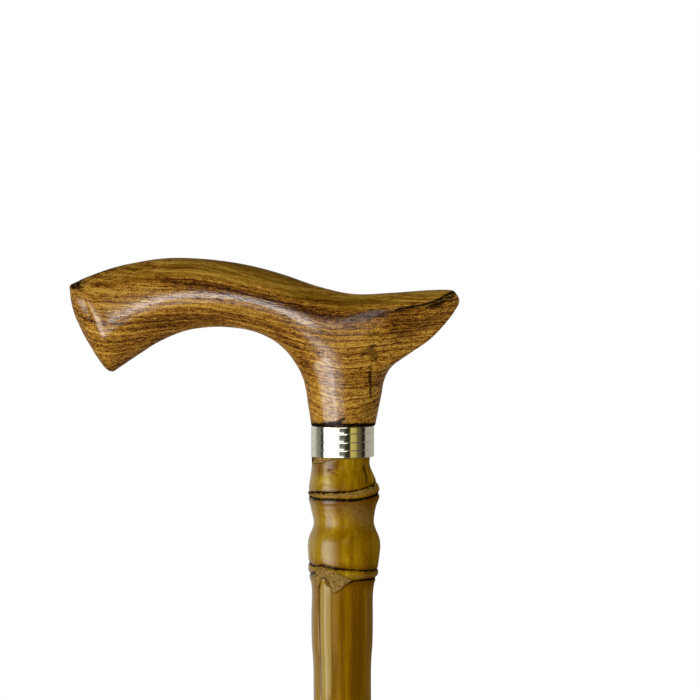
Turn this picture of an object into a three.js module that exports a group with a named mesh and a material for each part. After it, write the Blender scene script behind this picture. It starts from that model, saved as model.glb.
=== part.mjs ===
// Walking stick: a derby handle of scorched beech on a lacquered bamboo culm. A turned
// metal collar covers the joint, a steel dowel screw holds it from inside, and a rubber
// ferrule is pushed over the foot and pulls off along the axis.
//
// Millimetres, +Z up. The origin is the middle of the ferrule's flat base. The handle's
// tail points to +X and its nose to -X.

import * as THREE from 'three';

// Whole stick
const stickHeight = 920; // ground to the crown of the grip
const lean = 6.5; // the handle's axis stands this far forward of the ferrule's
const sway = 1.2; // how far the culm wanders sideways
const fitGap = 0.3; // between pieces that are glued or pushed together
const drillOverrun = 2; // a drilled hole runs this far past what it holds

// Handle
const noseReach = 97; // handle's axis to the nose
const tailReach = 42; // handle's axis to the tip of the tail
const handleRise = 60; // collar to the crown of the grip
const gripHalfWidth = 13.2;
const neckLip = 0.7; // rounding under the neck's foot
const neckOverhang = 0.5; // how far that foot stands out past the collar, under the tail

// Collar
const collarRadius = 11.3;
const collarHeight = 11;
const collarWall = 1.4;
const collarGrooveDepth = 0.22;
const collarGrooveWidth = 0.34;
const collarCrown = 0.02; // how far each band swells between its grooves
const collarGrooveShares = [0.24, 0.5, 0.78];

// Culm
const rootRadius = 10.3; // between the topmost nodes and the next one down
const footRadius = 10;
const rootLength = 90; // of the knotty root end, down from the collar
const nodeFlareLength = 17; // the culm widens over this length above a node
const nodeFlareRise = 1.7;
const nodeBandHeight = 5;
const nodeBandRise = 2.1;
const nodeFallLength = 8; // and narrows again over this length below it
const nodeFallRise = 1.3;
const nodeCreaseDepth = 0.35;
const nodeCreaseWidth = 1.1;
const furrowDepth = 0.5; // the two furrows that run down from the topmost bud scar
const furrowSpread = 4.6; // from one furrow to the other
const culmBoreRadius = 4.5;
const diaphragmThickness = 3;
const ventRadius = 1.6;

// Plugs and dowel screw
const topPlugRadius = 7;
const topPlugLength = 70;
const footPlugLength = 40;
const plugChamfer = 0.8;
const screwCrestRadius = 4;
const screwCoreRadius = 3.1;
const screwLength = 75;
const screwInHandle = 30;
const screwShankLength = 13;
const screwPitch = 4;
const screwPointLength = 3;
const screwPointRadius = 1.2;

// Ferrule and its washer
const ferruleHeight = 42;
const soleThickness = 10;
const soleRadius = 16.5;
const soleEdge = 1.2;
const soleSideHeight = 6;
const skirtTop = 16; // where the flared skirt has narrowed to the sleeve
const sleeveWall = 2.6;
const beadHeight = 4;
const beadRise = 0.7;
const ribCount = 3;
const ribPitch = 5;
const ribRise = 0.6;
const treadCount = 2;
const treadPitch = 5.2;
const treadGroove = 2;
const treadDepth = 1.5;
const centreLand = 4.4; // radius of the flat in the middle of the sole
const mouthChamfer = 0.6;
const washerThickness = 1.5;
const washerRadius = 9.5;

// Worked out from the sizes above
const culmTop = stickHeight - handleRise;
const culmFoot = soleThickness + washerThickness;
const culmLength = culmTop - culmFoot;
const shoulder = culmTop - collarHeight;
const tenonRadius = collarRadius - collarWall - fitGap;
const topBoreRadius = topPlugRadius + fitGap;
const screwHoleRadius = screwCrestRadius + fitGap;
const screwInPlug = screwLength - screwInHandle;
const socketRadius = footRadius + fitGap;
const sleeveRadius = socketRadius + sleeveWall;

// Counts of facets
const roundSegments = 36;
const boreSegments = 24;
const culmSegments = 28;
const threadSegments = 8;
const rowsPerThread = 4;
const sectionsPerRung = 2;
const quarterSteps = 6;
const shoulderSteps = 5;
const skirtSteps = 5;
const rootRings = 26;
const flareRings = 4;
const internodeRings = 4;
const boreRings = 4;

// A smooth line through [place, value] points, which keeps its end values beyond them.
function lineThrough(points) {
  const last = points.length - 1;
  const slope = (i) => {
    const [before, after] = [points[Math.max(i - 1, 0)], points[Math.min(i + 1, last)]];
    return (after[1] - before[1]) / (after[0] - before[0]);
  };
  return (place) => {
    if (place <= points[0][0]) return points[0][1];
    if (place >= points[last][0]) return points[last][1];
    const i = points.findIndex(([next]) => next > place) - 1;
    const [[from, start], [to, end]] = [points[i], points[i + 1]];
    const span = to - from;
    const t = (place - from) / span;
    const ease = t * t * (3 - 2 * t);
    const rise = slope(i) * t * (1 - t) * (1 - t) - slope(i + 1) * t * t * (1 - t);
    return start + (end - start) * ease + rise * span;
  };
}

// A closed skin over rings of equally many points. It ends on two points, or where there
// are none its last ring joins its first.
function skin(rings, firstPoint, lastPoint) {
  const count = rings[0].length;
  const places = rings.flat();
  const faces = [];
  const joined = firstPoint ? rings.length - 1 : rings.length;
  for (let row = 0; row < joined; row += 1) {
    const next = ((row + 1) % rings.length) * count;
    for (let i = 0; i < count; i += 1) {
      const j = (i + 1) % count;
      const here = row * count;
      faces.push(here + i, here + j, next + j, here + i, next + j, next + i);
    }
  }
  if (firstPoint) {
    const [first, last] = [places.length, places.length + 1];
    const lastRing = (rings.length - 1) * count;
    places.push(firstPoint, lastPoint);
    for (let i = 0; i < count; i += 1) {
      const j = (i + 1) % count;
      faces.push(first, j, i);
      faces.push(last, lastRing + i, lastRing + j);
    }
  }
  const geometry = new THREE.BufferGeometry();
  const numbers = places.flatMap((place) => [place.x, place.y, place.z]);
  geometry.setAttribute('position', new THREE.Float32BufferAttribute(numbers, 3));
  geometry.setIndex(faces);
  geometry.computeVertexNormals();
  return geometry;
}

// A turned piece about Z. Its profile of [radius, height] points runs upwards outside.
function turned(profile, segments) {
  const outline = profile.map(([radius, height]) => new THREE.Vector2(radius, height));
  return new THREE.LatheGeometry(outline, segments).rotateX(Math.PI / 2);
}

// A level circle of points, counter-clockwise from above.
function circle(radius, height, segments, forward = 0) {
  return Array.from({ length: segments }, (_, i) => {
    const angle = (i / segments) * 2 * Math.PI;
    const [x, y] = [radius * Math.cos(angle), radius * Math.sin(angle)];
    return new THREE.Vector3(forward + x, y, height);
  });
}

function piece(name, geometry, color, roughness, metalness) {
  const material = new THREE.MeshStandardMaterial({ color, roughness, metalness });
  const mesh = new THREE.Mesh(geometry, material);
  mesh.name = name;
  return mesh;
}

// Handle. It is lofted over rungs that cross its side view from the keel, under the grip
// and down the inside of the neck, to the crown, over the grip and round the tail. Each
// row holds the keel's x and z, the crown's x and z, the half width, the ridge, which is
// how far along the rung the handle is widest, and how sharp its shoulder is there. An x
// share is of the nose's reach where it is negative and of the tail's reach elsewhere, a
// z share is of the handle's rise, and a width share is of the grip's half width.
const rungShares = [
  [-0.97, 0.607, -0.97, 0.607, 0, 0.5, 0],
  [-0.953, 0.542, -0.988, 0.673, 0.17, 0.5, 0],
  [-0.929, 0.476, -0.999, 0.74, 0.33, 0.48, 0.1],
  [-0.9, 0.399, -1.003, 0.8, 0.52, 0.46, 0.3],
  [-0.87, 0.338, -1.002, 0.836, 0.67, 0.45, 0.6],
  [-0.846, 0.322, -0.973, 0.861, 0.845, 0.44, 0.9],
  [-0.825, 0.342, -0.947, 0.881, 0.988, 0.44, 1],
  [-0.743, 0.431, -0.858, 0.934, 1, 0.43, 1],
  [-0.67, 0.504, -0.773, 0.968, 0.995, 0.43, 1],
  [-0.574, 0.566, -0.648, 0.998, 0.99, 0.43, 1],
  [-0.471, 0.588, -0.508, 0.993, 0.985, 0.43, 1],
  [-0.375, 0.578, -0.361, 0.961, 0.98, 0.43, 1],
  [-0.309, 0.551, -0.228, 0.906, 0.975, 0.42, 1],
  [-0.254, 0.507, -0.096, 0.833, 0.965, 0.385, 0.95],
  [-0.217, 0.459, 0.085, 0.785, 0.955, 0.335, 0.85],
  [-0.191, 0.412, 0.408, 0.791, 0.945, 0.28, 0.7],
  [-0.173, 0.369, 0.706, 0.806, 0.935, 0.25, 0.55],
  [-0.16, 0.334, 0.914, 0.808, 0.925, 0.235, 0.4],
  [-0.153, 0.31, 0.97, 0.783, 0.92, 0.23, 0.3],
  [-0.147, 0.287, 0.993, 0.741, 0.915, 0.23, 0.2],
  [-0.142, 0.265, 0.966, 0.697, 0.91, 0.235, 0.1],
  [-0.138, 0.234, 0.89, 0.622, 0.905, 0.25, 0.05],
  [-0.134, 0.204, 0.746, 0.515, 0.9, 0.285, 0],
  [-0.131, 0.173, 0.563, 0.426, 0.895, 0.34, 0],
  [-0.129, 0.143, 0.418, 0.351, 0.89, 0.41, 0],
  [-0.126, 0.113, 0.355, 0.271, 0.885, 0.445, 0],
  [-0.123, 0.084, 0.331, 0.185, 0.875, 0.465, 0],
];

// The rim of the tail, where its domed top meets its sides. Each row holds the rung it
// is on, how far along that rung it lies, its half width and how crisp it is.
const rimShares = [
  [13, 0.81, 0.75, 0.2],
  [14, 0.78, 0.82, 0.5],
  [15, 0.75, 0.82, 0.8],
  [16, 0.78, 0.74, 0.95],
  [17, 0.85, 0.61, 1],
  [18, 0.945, 0.42, 1],
  [19, 0.935, 0.34, 1],
  [20, 0.9, 0.28, 1],
  [21, 0.86, 0.24, 0.95],
  [22, 0.82, 0.35, 0.75],
  [23, 0.8, 0.5, 0.35],
  [24, 0.8, 0.6, 0],
];

// A cubic curve stands for a quarter of an ellipse with the first pull, and for an
// eighth of one with the second.
const quarterPull = 0.5523;
const eighthPull = 0.2652;
const straightPull = 1 / 3;
const sharpKeelPull = 0.58; // under the keel, where the shoulder is sharp
const sharpSidePull = 0.4; // up to a sharp shoulder
const sharpOverShare = 0.75; // of the pull above a soft shoulder, for a sharp one
const domePullShares = [0.36, 0.45]; // of the rim's half width, at the rim and the crown
const domeSwellShare = 0.8; // of the dome's height, how high its curve is drawn at the rim

const inHandle = (share) => (share < 0 ? share * noseReach : share * tailReach);

function handleRungs() {
  const rungs = rungShares.map(([keelX, keelZ, crownX, crownZ, width, ridge, shoulderShare]) => ({
    keel: [inHandle(keelX), keelZ * handleRise],
    crown: [inHandle(crownX), crownZ * handleRise],
    width: width * gripHalfWidth,
    ridge,
    shoulderShare,
  }));
  const foot = {
    keel: [-collarRadius, neckLip],
    crown: [collarRadius + neckOverhang, neckLip],
    width: collarRadius,
    ridge: 0.5,
    shoulderShare: 0,
  };
  const above = rungs[rungs.length - 1];
  const middle = (a, b) => (a + b) / 2;
  rungs.push({
    keel: foot.keel.map((value, i) => middle(value, above.keel[i])),
    crown: foot.crown.map((value, i) => middle(value, above.crown[i])),
    width: middle(foot.width, above.width),
    ridge: middle(foot.ridge, above.ridge),
    shoulderShare: middle(foot.shoulderShare, above.shoulderShare),
  });
  rungs.push(foot);
  return rungs;
}

// Half of a section as [half width, place along the rung] points from keel to crown.
function halfSection(width, ridge, shoulderShare, rimAt, rimWidth, crisp) {
  const { lerp } = THREE.MathUtils;
  const blend = (soft, sharp) => lerp(soft, sharp, crisp);
  const keelPull = lerp(quarterPull, sharpKeelPull, shoulderShare);
  const lowerPull = lerp(quarterPull, sharpSidePull, shoulderShare);
  const overShare = lerp(1, sharpOverShare, shoulderShare);
  const above = 1 - ridge;
  const eighth = Math.SQRT1_2;
  const rim = [blend(width * eighth, rimWidth), blend(ridge + above * eighth, rimAt)];
  const sidePull = blend(eighthPull * above, straightPull * (rimAt - ridge)) * overShare;
  const softPull = eighthPull * eighth;
  const [domeStart, domeEnd] = domePullShares;
  const under = [
    blend(rim[0] + softPull * width, rim[0] + straightPull * (width - rim[0])),
    blend(rim[1] - softPull * above, rim[1] - straightPull * (rim[1] - ridge)),
  ];
  const over = [
    blend(rim[0] - softPull * width, rim[0] * (1 - domeStart)),
    blend(rim[1] + softPull * above, rim[1] + domeSwellShare * (1 - rim[1])),
  ];
  const last = [blend(eighthPull * width, rim[0] * domeEnd), 1];
  const curve = (...points) =>
    new THREE.CubicBezierCurve(...points.map(([x, y]) => new THREE.Vector2(x, y)));
  const lower = curve(
    [0, 0],
    [keelPull * width, 0],
    [width, ridge * (1 - lowerPull)],
    [width, ridge],
  );
  const middle = curve([width, ridge], [width, ridge + sidePull], under, rim);
  const upper = curve(rim, over, last, [0, 1]);
  const points = lower.getPoints(quarterSteps);
  points.push(...middle.getPoints(shoulderSteps).slice(1));
  points.push(...upper.getPoints(quarterSteps).slice(1));
  return points;
}

function handleGeometry() {
  const rungs = handleRungs();
  const along = (pick) => lineThrough(rungs.map((rung, i) => [i, pick(rung)]));
  const rim = (column) => lineThrough(rimShares.map((row) => [row[0], row[column]]));
  const [keelX, keelZ] = [along((rung) => rung.keel[0]), along((rung) => rung.keel[1])];
  const [crownX, crownZ] = [along((rung) => rung.crown[0]), along((rung) => rung.crown[1])];
  const [width, ridge] = [along((rung) => rung.width), along((rung) => rung.ridge)];
  const sharp = along((rung) => rung.shoulderShare);
  const [rimAt, rimWidth, crisp] = [rim(1), rim(2), rim(3)];

  const section = (place) => {
    const keel = new THREE.Vector3(keelX(place), 0, keelZ(place));
    const crown = new THREE.Vector3(crownX(place), 0, crownZ(place));
    const half = halfSection(
      width(place),
      ridge(place),
      THREE.MathUtils.clamp(sharp(place), 0, 1),
      rimAt(place),
      rimWidth(place) * gripHalfWidth,
      crisp(place),
    );
    const onSide = (side) => (point) => {
      const place3 = keel.clone().lerp(crown, point.y);
      place3.y = side * point.x;
      return place3;
    };
    const far = half.map(onSide(1));
    const near = half.slice(1, -1).map(onSide(-1)).reverse();
    return [...far, ...near];
  };

  const rings = [];
  const steps = (rungs.length - 1) * sectionsPerRung;
  for (let i = 1; i <= steps; i += 1) {
    rings.push(section(i / sectionsPerRung));
  }
  const foot = rings[rings.length - 1];
  const flatShare = (collarRadius - neckLip) / collarRadius;
  rings.push(foot.map((place) => place.clone().multiplyScalar(flatShare).setZ(0)));
  const holeRing = (height) =>
    foot.map((place) => place.clone().setZ(0).setLength(screwHoleRadius).setZ(height));
  const holeEnd = screwInHandle + drillOverrun;
  rings.push(holeRing(0), holeRing(holeEnd));
  const nose = new THREE.Vector3(keelX(0), 0, keelZ(0));
  return skin(rings, nose, new THREE.Vector3(0, 0, holeEnd + screwHoleRadius / 2));
}

// Collar: a sleeve with shallow grooves and slightly swelling bands between them.
function collarGeometry() {
  const innerRadius = collarRadius - collarWall;
  const edges = [0, ...collarGrooveShares, 1].map((share) => share * collarHeight);
  const halfGroove = collarGrooveWidth / 2;
  const profile = [[innerRadius, 0]];
  for (let i = 0; i + 1 < edges.length; i += 1) {
    const [low, high] = [edges[i] + halfGroove, edges[i + 1] - halfGroove];
    profile.push([collarRadius - collarGrooveDepth, edges[i]]);
    profile.push([collarRadius - collarCrown, low]);
    profile.push([collarRadius, (low + high) / 2]);
    profile.push([collarRadius - collarCrown, high]);
  }
  profile.push([collarRadius - collarGrooveDepth, collarHeight]);
  profile.push([innerRadius, collarHeight]);
  profile.push([innerRadius, 0]);
  return turned(profile, roundSegments);
}

// Dowel screw: a thread at both ends of a plain shank, with its ends drawn to points.
function screwGeometry() {
  const rowHeight = screwPitch / rowsPerThread;
  const rows = Math.round(screwLength / rowHeight);
  const threadDepth = (height) => {
    const toEnd = Math.min(height, screwLength - height);
    const toShank = Math.abs(height - screwInPlug) - screwShankLength / 2;
    const fade = Math.min(toEnd / screwPointLength, toShank / rowHeight, 1);
    return Math.max(fade, 0) * (screwCrestRadius - screwCoreRadius);
  };
  const rings = Array.from({ length: rows + 1 }, (_, row) => {
    const height = (row / rows) * screwLength;
    const toEnd = Math.min(height, screwLength - height);
    const full = Math.min(toEnd / screwPointLength, 1);
    const core = THREE.MathUtils.lerp(screwPointRadius, screwCoreRadius, full);
    return circle(1, height, threadSegments).map((place, i) => {
      const turn = height / screwPitch - i / threadSegments;
      const tooth = (1 - Math.cos(2 * Math.PI * turn)) / 2;
      const radius = core + threadDepth(height) * tooth;
      return new THREE.Vector3(place.x * radius, place.y * radius, height);
    });
  });
  const [start, end] = [new THREE.Vector3(0, 0, 0), new THREE.Vector3(0, 0, screwLength)];
  return skin(rings, start, end);
}

// Hardwood dowel in the culm's root end, drilled for the screw.
function topPlugGeometry() {
  const holeFoot = topPlugLength - screwInPlug - drillOverrun;
  return turned([
    [0, 0],
    [topPlugRadius - plugChamfer, 0],
    [topPlugRadius, plugChamfer],
    [topPlugRadius, topPlugLength],
    [screwHoleRadius, topPlugLength],
    [screwHoleRadius, holeFoot],
    [0, holeFoot - screwHoleRadius / 2],
  ], boreSegments);
}

function footPlugGeometry() {
  const radius = culmBoreRadius - fitGap;
  return turned([
    [0, 0],
    [radius, 0],
    [radius, footPlugLength - plugChamfer],
    [radius - plugChamfer, footPlugLength],
    [0, footPlugLength],
  ], boreSegments);
}

// Culm. The nodes below the root end, as shares of its length up from the foot.
const nodeShares = [0.287, 0.544, 0.778];

// The topmost two nodes sit close together in the root end.
const rootNodeShares = [0.937, 0.9705];

// Outline of the root end: how far down from the collar, as a share of its length, and
// the radius as a share of the radius below it.
const rootOutlineShares = [
  [0, 1.01],
  [0.035, 1.01],
  [0.065, 1.075],
  [0.095, 1.15],
  [0.125, 1.21],
  [0.16, 1.24],
  [0.19, 1.16],
  [0.225, 1.09],
  [0.26, 1.045],
  [0.285, 1.09],
  [0.32, 1.215],
  [0.35, 1.26],
  [0.385, 1.245],
  [0.43, 1.205],
  [0.475, 1.175],
  [0.51, 1.09],
  [0.555, 1.06],
  [0.65, 1.07],
  [0.745, 1.055],
  [0.83, 1.005],
  [1, 1],
];

// Where the culm's middle runs: height as a share of the stick's height, forward as a
// share of the lean and sideways as a share of the sway.
const culmPathShares = [
  [0.03, 0, 0],
  [0.065, 0, 0],
  [0.277, 0.09, 0.6],
  [0.352, 0.29, 0.4],
  [0.447, 0.58, -0.3],
  [0.51, 0.78, -0.8],
  [0.604, 0.66, -0.3],
  [0.688, 0.89, 0.6],
  [0.73, 1.03, 0.9],
  [0.858, 0.98, 0.3],
  [0.872, 1.01, 0.2],
  [0.885, 1.08, 0.1],
  [0.896, 1.08, 0],
  [0.902, 1.04, 0],
  [0.909, 1.08, 0],
  [0.915, 1, 0],
  [0.919, 0.91, 0],
  [0.922, 0.9, 0],
  [0.94, 0.9, 0],
];

const culmForward = lineThrough(
  culmPathShares.map(([height, forward]) => [height * stickHeight, forward * lean]),
);
const culmSideways = lineThrough(
  culmPathShares.map(([height, , side]) => [height * stickHeight, side * sway]),
);
const rootOutline = lineThrough(
  rootOutlineShares.map(([down, share]) => [down * rootLength, share * rootRadius]),
);
const nodeHeights = nodeShares.map((share) => culmFoot + share * culmLength);
const rootNodeHeights = rootNodeShares.map((share) => culmFoot + share * culmLength);

// How far the culm stands out round a node, by the height above the node's middle.
function nodeRise(above) {
  const halfBand = nodeBandHeight / 2;
  if (Math.abs(above) <= halfBand) {
    const across = above / halfBand;
    return nodeFallRise + (nodeBandRise - nodeFallRise) * (1 - across * across);
  }
  const [length, rise] = above > 0
    ? [nodeFlareLength, nodeFlareRise]
    : [nodeFallLength, nodeFallRise];
  const left = Math.max(0, 1 - (Math.abs(above) - halfBand) / length);
  return rise * left * left;
}

// The dark creases above and below a node's band.
function creaseDepth(above) {
  const fromLine = Math.abs(Math.abs(above) - nodeBandHeight / 2) / nodeCreaseWidth;
  return nodeCreaseDepth * Math.max(0, 1 - fromLine);
}

// Two furrows with a rib between them, from the topmost bud scar down to the next node.
const furrowAngle = -2.1; // radians from +X, which is left of the middle seen from -Y
function furrow(height, angle, radius) {
  const [low, high] = [nodeHeights[2] + nodeFlareLength, rootNodeHeights[0]];
  if (height < low || height > high) return 0;
  const across = (angle - furrowAngle) * radius;
  const fromFurrow = (Math.abs(across) - furrowSpread / 2) / furrowSpread;
  const along = Math.sin((Math.PI * (height - low)) / (high - low));
  return furrowDepth * Math.sqrt(along) * Math.max(0, 1 - 2 * Math.abs(fromFurrow));
}

function culmRadiusAt(height, angle) {
  const down = shoulder - height;
  let radius = rootOutline(down);
  if (down > rootLength) {
    const toFoot = (down - rootLength) / (shoulder - culmFoot - rootLength);
    radius = THREE.MathUtils.lerp(rootRadius, footRadius, toFoot);
    nodeHeights.forEach((node) => {
      radius += nodeRise(height - node);
    });
  }
  [...nodeHeights, ...rootNodeHeights].forEach((node) => {
    radius -= creaseDepth(height - node);
  });
  return radius - furrow(height, angle, radius);
}

// Heights at which the culm's outside has a ring: close together at its nodes.
function culmRingHeights() {
  const heights = [];
  const halfBand = nodeBandHeight / 2;
  let from = culmFoot;
  nodeHeights.forEach((node) => {
    const low = node - halfBand - nodeFallLength;
    for (let i = 0; i < internodeRings; i += 1) {
      heights.push(from + ((low - from) * i) / internodeRings);
    }
    heights.push(low, low + nodeFallLength / 2, low + nodeFallLength - nodeCreaseWidth);
    heights.push(node - halfBand, node - halfBand + nodeCreaseWidth, node);
    heights.push(node + halfBand - nodeCreaseWidth, node + halfBand);
    for (let i = 0; i < flareRings; i += 1) {
      const up = nodeCreaseWidth + ((nodeFlareLength - nodeCreaseWidth) * i) / flareRings;
      heights.push(node + halfBand + up);
    }
    from = node + halfBand + nodeFlareLength;
  });
  const rootFoot = shoulder - rootLength;
  for (let i = 0; i < internodeRings; i += 1) {
    heights.push(from + ((rootFoot - from) * i) / internodeRings);
  }
  for (let i = 0; i <= rootRings; i += 1) {
    const up = Math.sqrt(i / rootRings);
    heights.push(rootFoot + rootLength * up);
  }
  return heights;
}

function culmGeometry() {
  const ring = (height, radiusAt) =>
    circle(1, height, culmSegments).map((place, i) => {
      const turn = (i / culmSegments) * 2 * Math.PI;
      const angle = turn > Math.PI ? turn - 2 * Math.PI : turn;
      const radius = radiusAt(height, angle);
      const x = culmForward(height) + place.x * radius;
      const y = culmSideways(height) + place.y * radius;
      return new THREE.Vector3(x, y, height);
    });
  const bore = (height, radius) => ring(height, () => radius);
  const onAxis = (height, radius) => circle(radius, height, culmSegments, lean);
  const rings = culmRingHeights().map((height) => ring(height, culmRadiusAt));
  rings.push(onAxis(shoulder, tenonRadius), onAxis(culmTop, tenonRadius));

  // Down the inside: the plug's bore, then the hollow internodes, whose diaphragms are
  // each pierced by a vent.
  const plugFoot = culmTop - topPlugLength;
  rings.push(onAxis(culmTop, topBoreRadius), onAxis(plugFoot, topBoreRadius));
  rings.push(bore(plugFoot, culmBoreRadius));
  let from = plugFoot;
  [...nodeHeights].reverse().forEach((node) => {
    const [top, bottom] = [node + diaphragmThickness / 2, node - diaphragmThickness / 2];
    for (let i = 1; i <= boreRings; i += 1) {
      rings.push(bore(from + ((top - from) * i) / boreRings, culmBoreRadius));
    }
    rings.push(bore(top, ventRadius), bore(bottom, ventRadius));
    rings.push(bore(bottom, culmBoreRadius));
    from = bottom;
  });
  for (let i = 1; i <= boreRings; i += 1) {
    rings.push(bore(from + ((culmFoot - from) * i) / boreRings, culmBoreRadius));
  }
  return skin(rings);
}

// Ferrule: a flared rubber foot with ring treads below, ribs and a bead on its sleeve.
function ferruleGeometry() {
  const profile = [[0, 0]];
  for (let i = 0; i < treadCount; i += 1) {
    const radius = centreLand + i * treadPitch;
    profile.push([radius, 0], [radius, treadDepth]);
    profile.push([radius + treadGroove, treadDepth], [radius + treadGroove, 0]);
  }
  profile.push([soleRadius - soleEdge, 0], [soleRadius, soleEdge], [soleRadius, soleSideHeight]);
  for (let i = 1; i <= skirtSteps; i += 1) {
    const turn = ((i / skirtSteps) * Math.PI) / 2;
    const radius = sleeveRadius + (soleRadius - sleeveRadius) * (1 - Math.sin(turn));
    profile.push([radius, skirtTop - (skirtTop - soleSideHeight) * Math.cos(turn)]);
  }
  for (let i = 0; i < ribCount; i += 1) {
    const low = skirtTop + (i + 0.5) * ribPitch;
    profile.push([sleeveRadius, low], [sleeveRadius + ribRise, low + ribRise]);
    profile.push([sleeveRadius + ribRise, low + 2 * ribRise], [sleeveRadius, low + 3 * ribRise]);
  }
  const beadFoot = ferruleHeight - beadHeight;
  profile.push([sleeveRadius, beadFoot], [sleeveRadius + beadRise, beadFoot + beadRise]);
  profile.push([sleeveRadius + beadRise, ferruleHeight - beadRise]);
  profile.push([sleeveRadius, ferruleHeight], [socketRadius + mouthChamfer, ferruleHeight]);
  profile.push([socketRadius, ferruleHeight - mouthChamfer], [socketRadius, soleThickness]);
  profile.push([0, soleThickness]);
  return turned(profile, roundSegments);
}

function washerGeometry() {
  return turned([
    [0, 0],
    [washerRadius, 0],
    [washerRadius, washerThickness],
    [0, washerThickness],
  ], boreSegments);
}

// The head is built about the handle's axis, with the collar's top at zero.
const head = new THREE.Group();
head.position.set(lean, 0, culmTop);
const collar = piece('collar', collarGeometry(), 0xd9d4c0, 0.12, 1);
collar.position.z = -collarHeight;
const screw = piece('dowel_screw', screwGeometry(), 0xb4b6b8, 0.35, 1);
screw.position.z = -screwInPlug;
const topPlug = piece('top_plug', topPlugGeometry(), 0xc69a62, 0.7, 0);
topPlug.position.z = -topPlugLength;
head.add(piece('handle', handleGeometry(), 0x8a5a2a, 0.3, 0), collar, screw, topPlug);

const culm = piece('culm', culmGeometry(), 0x84601c, 0.35, 0);
const footPlug = piece('foot_plug', footPlugGeometry(), 0xc69a62, 0.7, 0);
footPlug.position.z = culmFoot;
const washer = piece('ferrule_washer', washerGeometry(), 0xb4b6b8, 0.4, 1);
washer.position.z = soleThickness;
const ferrule = piece('ferrule', ferruleGeometry(), 0x1c1c1e, 0.75, 0);

const walkingStick = new THREE.Group();
walkingStick.add(head, culm, footPlug, washer, ferrule);

export default walkingStick;
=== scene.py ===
"""A walking stick's looks: a scorched beech derby handle, a turned collar and a bamboo culm.

The handle, the collar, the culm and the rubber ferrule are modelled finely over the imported
solids, and the pieces inside keep their solids with better finishes. Metres, +Z up. The
origin is the middle of the ferrule's flat base, the handle's nose points to -X, and the
camera looks along +Y.
"""

import logging
import math
from dataclasses import dataclass
from enum import Enum
from functools import reduce

import bpy
import numpy as np
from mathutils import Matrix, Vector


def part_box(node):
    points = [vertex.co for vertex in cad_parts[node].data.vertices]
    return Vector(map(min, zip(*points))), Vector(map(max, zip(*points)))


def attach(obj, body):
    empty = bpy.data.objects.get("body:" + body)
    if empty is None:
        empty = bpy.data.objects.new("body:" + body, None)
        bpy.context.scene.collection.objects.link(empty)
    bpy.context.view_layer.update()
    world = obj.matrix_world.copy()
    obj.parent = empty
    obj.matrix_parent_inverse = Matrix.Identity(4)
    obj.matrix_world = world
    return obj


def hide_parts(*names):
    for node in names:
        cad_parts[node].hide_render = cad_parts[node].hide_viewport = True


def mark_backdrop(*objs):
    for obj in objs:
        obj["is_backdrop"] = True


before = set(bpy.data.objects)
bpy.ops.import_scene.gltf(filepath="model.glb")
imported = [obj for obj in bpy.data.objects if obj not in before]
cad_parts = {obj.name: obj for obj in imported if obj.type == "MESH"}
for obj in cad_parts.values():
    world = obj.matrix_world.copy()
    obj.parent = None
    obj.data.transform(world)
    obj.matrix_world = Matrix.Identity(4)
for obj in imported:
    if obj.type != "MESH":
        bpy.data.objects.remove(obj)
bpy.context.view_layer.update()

log = logging.getLogger("walking_stick")

MM = 0.001

Colour = tuple[float, float, float]
Place = tuple[float, float, float]
Points = tuple[tuple[float, float], ...]
Paint = dict[str, np.ndarray]
Socket = bpy.types.NodeSocket
Feed = Socket | float | tuple


class Body(Enum):
    """The two bodies that move apart."""

    STICK = "stick"
    FERRULE = "ferrule"


class Slot(Enum):
    """The finishes that the record names."""

    BEECH = "beech"
    COLLAR = "collar_metal"
    BAMBOO = "bamboo"
    DOWEL = "dowel_wood"
    STEEL = "steel"
    RUBBER = "rubber"


def linear(red: float, green: float, blue: float) -> Colour:
    """A colour's linear values.

    Args:
        red: Red as a screen shows it, from 0 to 255.
        green: Green, likewise.
        blue: Blue, likewise.

    Returns:
        The same colour as light, from 0 to 1.
    """
    shown = np.array([red, green, blue]) / 255
    light = np.where(shown <= 0.04045, shown / 12.92, ((shown + 0.055) / 1.055) ** 2.4)
    return tuple(float(value) for value in light)


def line_through(points: Points | np.ndarray, places: np.ndarray) -> np.ndarray:
    """A smooth line through points, which keeps its end values beyond them.

    Args:
        points: Pairs of place and value, in rising order of place.
        places: Where the line is read.

    Returns:
        The line's values there.
    """
    at, value = np.array(points, float).T
    last = len(at) - 1
    order = np.arange(last + 1)
    before, after = np.maximum(order - 1, 0), np.minimum(order + 1, last)
    slope = (value[after] - value[before]) / (at[after] - at[before])
    held = np.clip(places, at[0], at[-1])
    i = np.clip(np.searchsorted(at, held, side="right") - 1, 0, last - 1)
    span = at[i + 1] - at[i]
    t = (held - at[i]) / span
    ease = t * t * (3 - 2 * t)
    rise = slope[i] * t * (1 - t) ** 2 - slope[i + 1] * t * t * (1 - t)
    return value[i] + (value[i + 1] - value[i]) * ease + rise * span


def smooth(value: np.ndarray, low: float, high: float) -> np.ndarray:
    """A soft step from 0 at low to 1 at high, or falling where high is the lower one."""
    t = np.clip((value - low) / (high - low), 0, 1)
    return t * t * (3 - 2 * t)


def bell(value: np.ndarray, width: float) -> np.ndarray:
    """A bump that is 1 where a value is 0 and fades over a width."""
    return np.exp(-((value / width) ** 2))


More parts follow.
